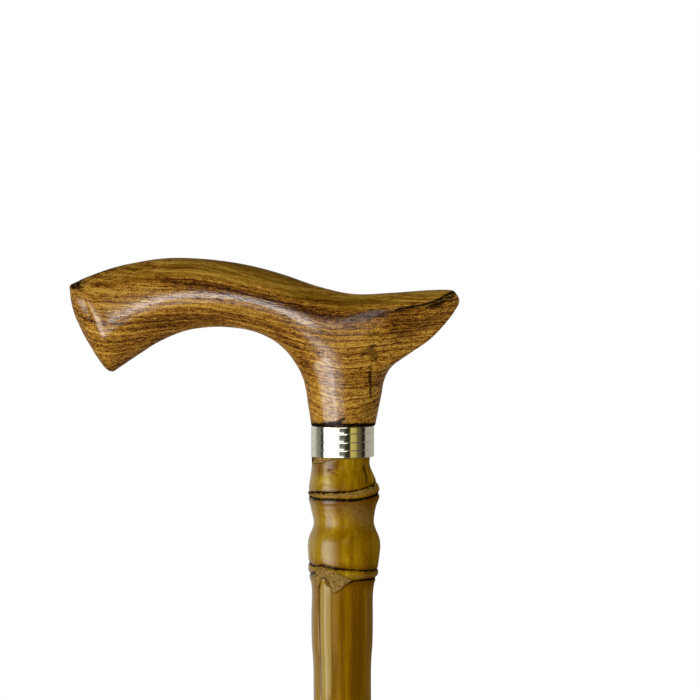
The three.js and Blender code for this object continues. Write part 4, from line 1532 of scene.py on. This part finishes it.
    def node_heights(self, shares: tuple[float, ...]) -> list[float]:
        """The heights of nodes given as shares of the culm's length."""
        length = self.stick.culm_top - self.stick.culm_foot
        return [self.stick.culm_foot + share * length for share in shares]

    def root_internode(self) -> tuple[float, float]:
        """The foot and the top of the furrowed internode under the root end's nodes."""
        low = max(self.node_heights(self.NODE_SHARES)) + self.flare_length
        return low, min(self.node_heights(self.ROOT_NODE_SHARES))

    def plain_radius(self, height: np.ndarray) -> np.ndarray:
        """The radius without lines, furrows and scars.

        Args:
            height: Heights above the ground.

        Returns:
            The radius at each height.
        """
        down = self.stick.shoulder - height
        root = line_through(np.array(self.ROOT_OUTLINE_SHARES) * (self.root_length, self.root_radius), down)
        rest = self.stick.shoulder - self.stick.culm_foot - self.root_length
        to_foot = np.clip((down - self.root_length) / rest, 0, 1)
        below = self.root_radius + (self.foot_radius - self.root_radius) * to_foot
        half = self.band_height / 2
        for node in self.node_heights(self.NODE_SHARES):
            above = height - node
            across = np.clip(above / half, -1, 1)
            band = self.fall_rise + (self.band_rise - self.fall_rise) * (1 - across**2)
            length = np.where(above > 0, self.flare_length, self.fall_length)
            rise = np.where(above > 0, self.flare_rise, self.fall_rise)
            left = np.clip(1 - (np.abs(above) - half) / length, 0, 1)
            below = below + np.where(np.abs(above) <= half, band, rise * left**2)
        return np.where(down > self.root_length, below, root)

    def line_heights(self, line: NodeLine, turn: np.ndarray) -> np.ndarray:
        """The height of a drawn line all the way round.

        Args:
            line: The line.
            turn: Turns from the side that faces the camera, towards +X, in radians.

        Returns:
            The line's height at each turn.
        """
        pixels = np.array(line.pixels)
        widest = 0.99  # where a sight line that misses the culm is put, as a share of its radius
        depth = np.zeros(len(pixels))
        for _ in range(self.sightings):
            x, z = self.view.at_depth(pixels, depth)
            forward, side = self.path(z)
            radius = self.plain_radius(z)
            across = np.clip((x - forward) / radius, -widest, widest)
            depth = side - radius * np.sqrt(1 - across**2)
        return np.interp(turn, np.arcsin(across), z, period=2 * math.pi)

    def row_heights(self) -> np.ndarray:
        """Heights of the outside's rings, close together where there is detail.

        Returns:
            The heights, from the foot to the shoulder.
        """
        stick = self.stick
        knotty = min(self.node_heights(self.ROOT_NODE_SHARES)) - self.knotty_reach
        fine = [(knotty, stick.shoulder, self.knotty_step)]
        lengths = (self.band_height, self.fall_length, self.flare_length)
        band, fall, flare = (share * length for share, length in zip(self.FINE_SHARES, lengths))
        for node in self.node_heights(self.NODE_SHARES):
            fine.append((node - band, node + band, self.node_step))
            fine.append((node - fall, node + flare, self.COARSER * self.node_step))
        heights = [stick.culm_foot]
        while heights[-1] < stick.shoulder:
            here = heights[-1]
            step = self.plain_step
            for low, high, fine_step in fine:
                if low <= here < high:
                    step = min(step, fine_step)
                elif here < low < here + step:
                    step = max(low - here, fine_step)
            heights.append(here + step)
        heights[-1] = stick.shoulder
        return np.array(heights)

    def plain_rind(self) -> Rind:
        """The rind before it is worked.

        Returns:
            Its grid and its random spots, without relief.
        """
        columns = np.arange(self.columns) * (2 * math.pi / self.columns)
        height, angle = np.meshgrid(self.row_heights(), columns, indexing="ij")
        turn = (angle + 1.5 * math.pi) % (2 * math.pi) - math.pi
        plain = self.plain_radius(height)
        count = round(2 * math.pi * self.root_radius / self.spot)
        across, along = turn / (2 * math.pi) * count, height / self.spot
        finer = self.FINER
        return Rind(
            height=height,
            angle=angle,
            turn=turn,
            plain=plain,
            pixels=self.view.pixels_of(self.around(height, angle, plain)),
            front=smooth(np.abs(turn), *self.FRONT_TURNS),
            coarse=mottle(across, along, self.COARSE_SEED, count),
            fine=mottle(across * finer, along * finer, self.FINE_SEED, count * finer),
            teeth=mottle(across, np.full_like(height, 0.5), self.TEETH_SEED, count),
            relief=np.zeros_like(height),
            char=np.zeros_like(height),
            smoke=np.zeros_like(height),
            band=np.zeros_like(height),
        )

    def work_root_nodes(self, rind: Rind) -> None:
        """Chars and cuts the root end's dark lines, the lower ones partly painted shade under the sheath
        scars' ledges, and swells the bands between them.

        Args:
            rind: The rind.
        """
        least, waver = self.ROOT_WAVER
        heights = [self.line_heights(line, rind.turn) for line in self.ROOT_LINES]
        for line, at in zip(self.ROOT_LINES, heights):
            above = rind.height - at
            up = line.thickness * (least + waver * rind.coarse)
            splinters = self.SPLINTERS * smooth(rind.fine, *self.SPLINTER_STEP)
            down = up + line.teeth * (smooth(rind.teeth, *self.TEETH_STEP) + splinters)
            upper = smooth(above, up, self.UPPER_SOFT * up)
            lower = smooth(-above, down, self.LOWER_SOFT * down)
            rind.char = np.maximum(rind.char, np.where(above > 0, upper, lower))
            rind.relief -= line.depth * bell(above, self.groove_share * line.thickness + self.groove_blur)
            rind.smoke += line.smoke * bell(above, self.smoke_share * line.thickness + self.smoke_blur)
        for upper, lower, light in zip(heights[::2], heights[1::2], self.ROOT_BAND_LIGHT):
            middle, half = (upper + lower) / 2, np.maximum((upper - lower) / 2, self.least_half)
            swell = np.clip(1 - ((rind.height - middle) / half) ** 2, 0, 1)
            rind.relief += self.band_swell * swell
            rind.band = np.maximum(rind.band, light * smooth(swell, 0, self.ROOT_BAND_EDGE))
            start, whole = (share * half for share in self.SPECK_SHARES)
            specks = smooth(rind.fine, *self.SPECK_STEP) * smooth(rind.height - middle, start, whole)
            specks = self.SPECK_CHAR * specks * smooth(swell, 0, self.ROOT_SPECK_EDGE)
            rind.char = np.maximum(rind.char, specks * light)

    def work_long_nodes(self, rind: Rind) -> None:
        """Chars and cuts the two dark lines of each long-spaced node, and pales its band.

        Args:
            rind: The rind.
        """
        least, waver = self.BAND_WAVER
        half = self.band_height / 2
        for number, node in enumerate(self.node_heights(self.NODE_SHARES)):
            waves = (size * np.sin(rind.turn * count + number * shift) for size, count, shift in self.WOBBLES)
            above_node = rind.height - node - sum(waves)
            for edge, thickness in ((half, self.upper_line), (-half, self.lower_line)):
                above = above_node - edge
                reach = thickness * (least + waver * rind.coarse)
                rind.char = np.maximum(rind.char, smooth(np.abs(above), reach, self.LOWER_SOFT * reach))
                rind.relief -= self.line_depth * bell(above, thickness)
            inside = smooth(np.abs(above_node), half, self.BAND_EDGE * half)
            rind.band = np.maximum(rind.band, self.band_pallor * inside)

    def work_marks(self, rind: Rind) -> Paint:
        """Presses the scar, the torn flap, the pocket and the cracks into the rind.

        Args:
            rind: The rind.

        Returns:
            Where fibres are bare, and where the pocket is.
        """
        scar, flap, pocket, cracks, shadow, tan = (
            rind.seen(marks)
            for marks in (self.SCAR, self.FLAP, self.POCKET, self.CRACKS, self.SCAR_SHADOW, self.TAN)
        )
        left = rind.char * (1 - self.SCAR_COVER * scar)
        rind.char = np.maximum.reduce([left, self.POCKET_CHAR * pocket, cracks, shadow * (1 - scar)])
        even, coarse, fine = self.SCAR_SWELL
        rind.relief += scar * (even + coarse * rind.coarse + fine * rind.fine)
        even, fine = self.FLAP_SWELL
        rind.relief += flap * (even + fine * rind.fine)
        rind.relief -= pocket * self.pocket_depth + cracks * self.crack_depth
        return {"fibre": np.maximum(np.maximum(scar, flap) * (1 - pocket), tan), "pocket": pocket}

    def work_furrows(self, rind: Rind) -> None:
        """Cuts the root internode's two furrows, and the shallow flutes and pits all over.

        Args:
            rind: The rind.
        """
        low, high = self.root_internode()
        along = np.sqrt(np.sin(math.pi * np.clip((rind.height - low) / (high - low), 0, 1)))
        apart = np.abs((rind.turn - (self.furrow_angle + math.pi / 2)) * rind.plain)
        share = np.abs((apart - self.furrow_spread / 2) / self.furrow_spread)
        groove = np.clip(1 - 2 * share, 0, 1)
        crease = bell(share * self.furrow_spread, self.crease_width)
        rind.relief -= along * (self.furrow_depth * groove + self.crease_depth * crease)
        flutes = sum(np.sin(count * rind.turn + shift) / count for count, shift in self.FLUTES)
        fade = smooth(self.stick.shoulder - rind.height, 0, self.flute_fade)
        rind.relief += self.flute_depth * flutes * fade
        rind.relief += (rind.coarse - 0.5) * self.pitting

    def tone(self, rind: Rind) -> np.ndarray:
        """How dark the rind is, with painted shade and painted highlights in it.

        Args:
            rind: The worked rind.

        Returns:
            The tone, where the lacquer's stops run from 0 to 1.
        """
        low, high = self.root_internode()
        top = max(self.node_heights(self.ROOT_NODE_SHARES))
        foot, full = self.neck_foot
        edge = self.internode_edge
        knotty = smooth(rind.height, high - self.root_edge, high)
        internode = smooth(rind.height, low - edge, low + edge) * (1 - knotty)
        lower = smooth(rind.height, low, low - self.lower_edge)
        neck = smooth(rind.height, top, top - self.neck_top) * smooth(rind.height, top - foot, top - full)
        tone = self.PLAIN_TONE + self.ROOT_TONE * knotty + self.INTERNODE_TONE * internode
        tone += self.LOWER_TONE * lower + self.BAND_TONE * rind.band + self.NECK_TONE * neck
        # The lighter marks hold painted highlights on the rib and the neck.
        tone += rind.seen(self.DARKER) - rind.seen(self.LIGHTER_AND_HIGHLIGHTS) + rind.smoke
        # Painted shade by side, as the lamps fall on the rind.
        once, twice = self.SIDE_SHADE
        return tone + once * np.sin(rind.turn) + twice * np.cos(2 * rind.turn)

    def gloss(self, rind: Rind) -> np.ndarray:
        """Where the lacquer shines: on the camera's side, only left of the middle.

        Args:
            rind: The worked rind.

        Returns:
            Its strength at each place.
        """
        high = self.root_internode()[1]
        knotty = smooth(rind.height, high - self.gloss_edge, high)
        shine = knotty * smooth(rind.turn, *self.KNOTTY_SHINE)
        shine += (1 - knotty) * smooth(rind.turn, *self.SMOOTH_SHINE)
        return 1 - self.SHINE_LOSS * rind.front * (1 - shine)

    def outside(self) -> tuple[np.ndarray, Paint]:
        """The culm's outer rings and what is painted on them.

        Returns:
            The rings, and named values by ring and place.
        """
        rind = self.plain_rind()
        self.work_root_nodes(rind)
        self.work_long_nodes(rind)
        marks = self.work_marks(rind)
        self.work_furrows(rind)
        near, far = self.dull_reach
        high = self.root_internode()[1]
        duller = self.DULLNESS * smooth(rind.height, high - near, high - far)
        paint = {
            "tone": self.tone(rind),
            "char": rind.char,
            "fibre": marks["fibre"],
            "blush": np.maximum(rind.seen(self.BLUSH), duller),
            "rib_highlight": rind.seen(self.RIB_HIGHLIGHT),
            "gloss": self.gloss(rind) * (1 - marks["pocket"]),
        }
        return self.around(rind.height, rind.angle, rind.plain + rind.relief), paint

    def inside(self) -> np.ndarray:
        """The tenon under the collar, the plug's bore and the hollow internodes.

        Returns:
            Points by ring and place.
        """
        stick = self.stick
        turn = np.arange(self.columns) * (2 * math.pi / self.columns)
        plug_foot = stick.culm_top - self.plug_length
        drilled = [(stick.shoulder, self.tenon_radius), (stick.culm_top, self.tenon_radius)]
        drilled += [(stick.culm_top, self.plug_radius), (plug_foot, self.plug_radius)]
        upright = np.stack([np.cos(turn), np.sin(turn), 0 * turn], -1)
        grown = [(plug_foot, self.bore_radius)]
        start = plug_foot
        for node in reversed(self.node_heights(self.NODE_SHARES)):
            top, bottom = node + self.diaphragm / 2, node - self.diaphragm / 2
            grown += self.bore(start, top)
            grown += [(top, self.vent_radius), (bottom, self.vent_radius), (bottom, self.bore_radius)]
            start = bottom
        grown += self.bore(start, stick.culm_foot)
        rings = [self.around(np.full_like(turn, height), turn, radius) for height, radius in grown]
        straight = [upright * radius + (stick.axis, 0, height) for height, radius in drilled]
        return np.array(straight + rings)

    def bore(self, top: float, bottom: float) -> list[tuple[float, float]]:
        """Heights and radii down one hollow internode, after its top."""
        return [(height, self.bore_radius) for height in np.linspace(top, bottom, self.bore_steps + 1)[1:]]

    def build(self) -> bpy.types.Object:
        """Builds and dresses the culm.

        Returns:
            The culm.
        """
        outer, paint = self.outside()
        inner = self.inside()
        full = {}
        for name, values in paint.items():
            full[name] = np.concatenate([values, np.full(inner.shape[:2], self.BARE_PAINT[name])])
        made = skin("bamboo_culm", np.concatenate([outer, inner]), None, full)
        return settle(made, LacqueredBamboo().material(), "culm", Body.STICK)


@dataclass(frozen=True)
class Ferrule:
    """The rubber ferrule: a flared foot with ring treads, a ribbed sleeve and a bead."""

    stick: Stick
    sole_thickness: float = 10 * MM
    sole_edge: float = 1.2 * MM
    side_height: float = 6 * MM
    skirt_top: float = 16 * MM
    sleeve_wall: float = 2.6 * MM
    socket_radius: float = 10.3 * MM
    bead_height: float = 4 * MM
    bead_rise: float = 0.7 * MM
    rib_count: int = 3
    rib_pitch: float = 5 * MM
    rib_rise: float = 0.6 * MM
    rib_reach: float = 0.9 * MM  # up and down from a rib's middle
    tread_count: int = 2
    tread_pitch: float = 5.2 * MM
    tread_groove: float = 2 * MM
    tread_depth: float = 1.5 * MM
    centre_land: float = 4.4 * MM
    mouth: float = 0.6 * MM
    side_wear: float = 0.4  # of the flared side, where the sole's is 1
    rounding: float = 0.45 * MM
    rounding_steps: int = 4
    skirt_steps: int = 12
    rib_steps: int = 8
    segments: int = 128

    def outline(self) -> np.ndarray:
        """The ferrule's outline.

        Returns:
            Radius and height of each point, from the sole's middle to the socket's floor.
        """
        sleeve = self.socket_radius + self.sleeve_wall
        sole, height = self.stick.sole_radius, self.stick.ferrule_height
        points = [(0.0, 0.0)]
        for i in range(self.tread_count):
            radius = self.centre_land + i * self.tread_pitch
            points += [(radius, 0.0), (radius, self.tread_depth)]
            points += [(radius + self.tread_groove, self.tread_depth), (radius + self.tread_groove, 0.0)]
        points += [(sole - self.sole_edge, 0.0), (sole, self.sole_edge), (sole, self.side_height)]
        for turn in np.linspace(0, math.pi / 2, self.skirt_steps + 1)[1:]:
            radius = sleeve + (sole - sleeve) * (1 - math.sin(turn))
            points.append((radius, self.skirt_top - (self.skirt_top - self.side_height) * math.cos(turn)))
        for i in range(self.rib_count):
            low = self.skirt_top + self.rib_pitch / 2 + i * self.rib_pitch
            for turn in np.linspace(0, math.pi, self.rib_steps + 1):
                rise = self.rib_rise * math.sin(turn)
                points.append((sleeve + rise, low + self.rib_reach * (1 - math.cos(turn))))
        bead_foot = height - self.bead_height
        points += [(sleeve, bead_foot), (sleeve + self.bead_rise, bead_foot + self.bead_rise)]
        points += [(sleeve + self.bead_rise, height - self.bead_rise), (sleeve, height)]
        points += [(self.socket_radius + self.mouth, height), (self.socket_radius, height - self.mouth)]
        points += [(self.socket_radius, self.sole_thickness), (0.0, self.sole_thickness)]
        return np.array(points)

    def build(self) -> bpy.types.Object:
        """Builds and dresses the ferrule.

        Returns:
            The ferrule.
        """
        outline = rounded(self.outline(), self.rounding, self.rounding_steps)
        low = smooth(outline[:, 1], self.side_height, 0)
        proud = smooth(outline[:, 0], self.socket_radius + self.sleeve_wall, self.stick.sole_radius)
        wear = np.maximum(low, self.side_wear * proud)
        made = turned("rubber_ferrule", outline, (0, 0, 0), self.segments, {"wear": wear})
        return settle(made, MouldedRubber().material(), "ferrule", Body.FERRULE)


@dataclass(frozen=True)
class InnerPieces:
    """The pieces inside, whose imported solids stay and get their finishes."""

    wooden: tuple[str, ...] = ("top_plug", "foot_plug")
    steel: tuple[str, ...] = ("dowel_screw", "ferrule_washer")

    def build(self) -> list[bpy.types.Object]:
        """Dresses the pieces inside.

        Returns:
            The dressed pieces.
        """
        dowel, plated = BareDowel().material(), PlatedSteel().material()
        dressed = []
        groups = ((self.wooden, dowel, Slot.DOWEL), (self.steel, plated, Slot.STEEL))
        for names, finish, slot in groups:
            for name in names:
                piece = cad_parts[name]
                piece.data.materials.clear()
                piece.data.materials.append(finish)
                dressed.append(piece)
        return dressed


@dataclass(frozen=True)
class Lamp:
    """A soft lamp: its width and height, and where it hangs round the close view."""

    name: str
    size: tuple[float, float]
    distance: float
    turn: float  # from the camera's side towards +X
    rise: float
    radiance: float
    mirrored: bool = True  # whether gloss shows it


@dataclass(frozen=True)
class Studio:
    """A pale floor, soft lamps, a bright backdrop and the camera."""

    view: CloseUp
    floor_radius: float = 1.6
    floor_rings: int = 24
    floor_segments: int = 96
    hub_share: float = 0.02  # the floor's innermost ring
    fade_shares: tuple[float, float] = (0.25, 0.95)  # where it fades into the backdrop
    floor_colour: Colour = (0.88, 0.88, 0.87)
    gloss_floor: Colour = (0.25, 0.24, 0.22)
    white: Colour = (1.0, 1.0, 1.0)
    key: Lamp = Lamp("key_lamp", (1.45, 1.3), 1.6, math.radians(-45), math.radians(-8), 3.4)
    fill: Lamp = Lamp("fill_lamp", (0.86, 0.46), 1.8, math.radians(1.5), math.radians(13.5), 7.0)
    back: Lamp = Lamp("back_lamp", (1.6, 1.6), 1.8, math.radians(160), math.radians(10), 2.4, False)
    ambient: float = 0.34
    clip: tuple[float, float] = (0.1, 20.0)

    # What gloss shows overhead, and on a bright table low in front, on the left. The
    # table's edges are soft: each pair runs from outside it to inside.
    ceiling: Colour = (0.06, 0.06, 0.06)
    ceiling_rise: tuple[float, float] = (0.25, 0.6)
    table: Colour = (3.2, 3.2, 3.2)
    table_top: tuple[float, float] = (-0.09, -0.15)
    table_foot: tuple[float, float] = (-0.6, -0.5)
    table_left: tuple[float, float] = (-0.6, -0.5)
    table_right: tuple[float, float] = (0.12, 0.02)

    # What gloss shows all round, as shares of a full turn from behind on the left, past the
    # camera's side, to behind on the right.
    ROOM = (
        (0.0, (0.62, 0.62, 0.58)), (0.17, (0.62, 0.62, 0.58)),
        (0.2, (0.26, 0.28, 0.22)), (0.258, (0.2, 0.2, 0.16)),
        (0.264, (0.02, 0.02, 0.02)), (0.29, (0.02, 0.02, 0.02)),
        (0.3, (1.2, 1.2, 1.2)), (0.462, (1.2, 1.2, 1.2)),
        (0.472, (0.12, 0.12, 0.11)), (0.52, (0.12, 0.11, 0.08)),
        (0.535, (0.03, 0.025, 0.015)), (0.575, (0.03, 0.025, 0.015)),
        (0.585, (0.62, 0.52, 0.14)), (0.64, (0.46, 0.37, 0.1)),
        (0.655, (0.16, 0.12, 0.05)), (0.7, (0.1, 0.08, 0.04)),
        (0.71, (0.02, 0.02, 0.015)), (0.745, (0.02, 0.02, 0.015)),
        (0.76, (0.4, 0.38, 0.32)), (1.0, (0.5, 0.49, 0.45)),
    )

    def camera(self) -> None:
        """Sets the camera where the photograph was taken from."""
        data = bpy.data.cameras.new("close_view")
        data.lens, data.sensor_width = self.view.lens / MM, self.view.sensor / MM
        data.clip_start, data.clip_end = self.clip
        camera = bpy.data.objects.new("close_view", data)
        camera.location = self.view.eye().tolist()
        camera.rotation_euler = (math.pi / 2 - self.view.elevation, 0, 0)
        bpy.context.scene.collection.objects.link(camera)
        bpy.context.scene.camera = camera

    def hang(self, lamp: Lamp) -> None:
        """Hangs a soft lamp, turned to the close view's target.

        Args:
            lamp: The lamp.
        """
        data = bpy.data.lights.new(lamp.name, "AREA")
        data.shape = "RECTANGLE"
        data.size, data.size_y = lamp.size
        data.energy = lamp.radiance * math.pi * data.size * data.size_y
        made = bpy.data.objects.new(lamp.name, data)
        level, above = lamp.distance * math.cos(lamp.rise), lamp.distance * math.sin(lamp.rise)
        reach = (level * math.sin(lamp.turn), -level * math.cos(lamp.turn), above)
        made.location = (np.array(self.view.target) + reach).tolist()
        made.rotation_euler = (math.pi / 2 - lamp.rise, 0, lamp.turn)
        made.visible_glossy = lamp.mirrored
        bpy.context.scene.collection.objects.link(made)

    def floor(self) -> bpy.types.Object:
        """Lays the pale floor, a flat disc.

        Returns:
            Nothing; the floor stays in the scene, marked as backdrop.
        """
        rings, count = self.floor_rings, self.floor_segments
        turn = np.arange(count) * (2 * math.pi / count)
        radii = np.linspace(self.hub_share, 1, rings)[:, None] * self.floor_radius
        flat = np.zeros((rings, count, 3))
        flat[..., 0], flat[..., 1] = radii * np.cos(turn), radii * np.sin(turn)
        faces = [list(range(count))]
        for start in range(0, (rings - 1) * count, count):
            for i in range(count):
                j = (i + 1) % count
                faces.append([start + i, start + count + i, start + count + j, start + j])
        mesh = bpy.data.meshes.new("floor")
        mesh.from_pydata(flat.reshape(-1, 3).tolist(), [], faces)
        mesh.materials.append(self.floor_finish())
        floor = bpy.data.objects.new("floor", mesh)
        bpy.context.scene.collection.objects.link(floor)
        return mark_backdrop(floor)

    def floor_finish(self) -> bpy.types.Material:
        """Builds the floor's finish, which fades into the backdrop and is clear from below.

        Returns:
            The finished material.
        """
        g = Graph.finish("pale_floor")
        away = g.node("ShaderNodeVectorMath", {0: g.place()}, operation="LENGTH").outputs["Value"]
        path = g.node("ShaderNodeLightPath").outputs
        near, far = (share * self.floor_radius for share in self.fade_shares)
        fade = g.times(g.step(away, near, far), path["Is Camera Ray"])
        tint = g.mix(self.floor_colour, self.gloss_floor, path["Is Glossy Ray"])
        matt = g.node("ShaderNodeBsdfDiffuse", {"Color": tint})
        glow = g.node("ShaderNodeEmission", {"Color": self.white, "Strength": 1.0})
        both = g.node("ShaderNodeMixShader", {0: fade, 1: matt.outputs[0], 2: glow.outputs[0]})
        clear = g.node("ShaderNodeBsdfTransparent")
        below = g.node("ShaderNodeNewGeometry").outputs["Backfacing"]
        sided = g.node("ShaderNodeMixShader", {0: below, 1: both.outputs[0], 2: clear.outputs[0]})
        output = g.node("ShaderNodeOutputMaterial")
        g.tree.links.new(sided.outputs[0], output.inputs["Surface"])
        return g.owner

    def room(self) -> None:
        """Sets the white backdrop, the soft light all round and what gloss shows."""
        world = bpy.data.worlds.new("studio")
        bpy.context.scene.world = world
        g = Graph(world)
        toward = g.node("ShaderNodeTexCoord").outputs["Generated"]
        x, y, z = g.split(toward)
        turn = g.math("ARCTAN2", x, g.times(y, -1.0))
        share = g.add(g.math("DIVIDE", turn, 2 * math.pi), 0.5)
        shown = g.mix(g.ramp(share, self.ROOM), self.ceiling, g.step(z, *self.ceiling_rise))
        low = g.times(g.step(z, *self.table_top), g.step(z, *self.table_foot))
        left = g.times(g.step(turn, *self.table_left), g.step(turn, *self.table_right))
        shown = g.mix(shown, self.table, g.times(low, left))
        path = g.node("ShaderNodeLightPath").outputs
        plain = g.mix((self.ambient,) * 3, shown, path["Is Glossy Ray"])
        seen = g.math("MAXIMUM", path["Is Camera Ray"], path["Is Transmission Ray"])
        colour = g.mix(plain, self.white, seen)
        background = g.node("ShaderNodeBackground", {"Color": colour, "Strength": 1.0})
        output = g.node("ShaderNodeOutputWorld")
        g.tree.links.new(background.outputs[0], output.inputs["Surface"])

    def build(self) -> None:
        """Sets up the whole studio."""
        bpy.context.scene.view_settings.view_transform = "Standard"
        self.camera()
        for lamp in (self.key, self.fill, self.back):
            self.hang(lamp)
        self.floor()
        self.room()


def main() -> None:
    """Builds the stick and the studio, and reports each piece."""
    logging.basicConfig(level=logging.INFO, format="%(name)s: %(message)s")
    view = CloseUp()
    stick = Stick.from_frame()
    Studio(view).build()
    parts = (Handle(stick, view), Collar(stick), Culm(stick, view), Ferrule(stick))
    for piece in [part.build() for part in parts] + InnerPieces().build():
        log.info("%s has %d faces", piece.name, len(piece.data.polygons))


if __name__ == "__main__":
    main()
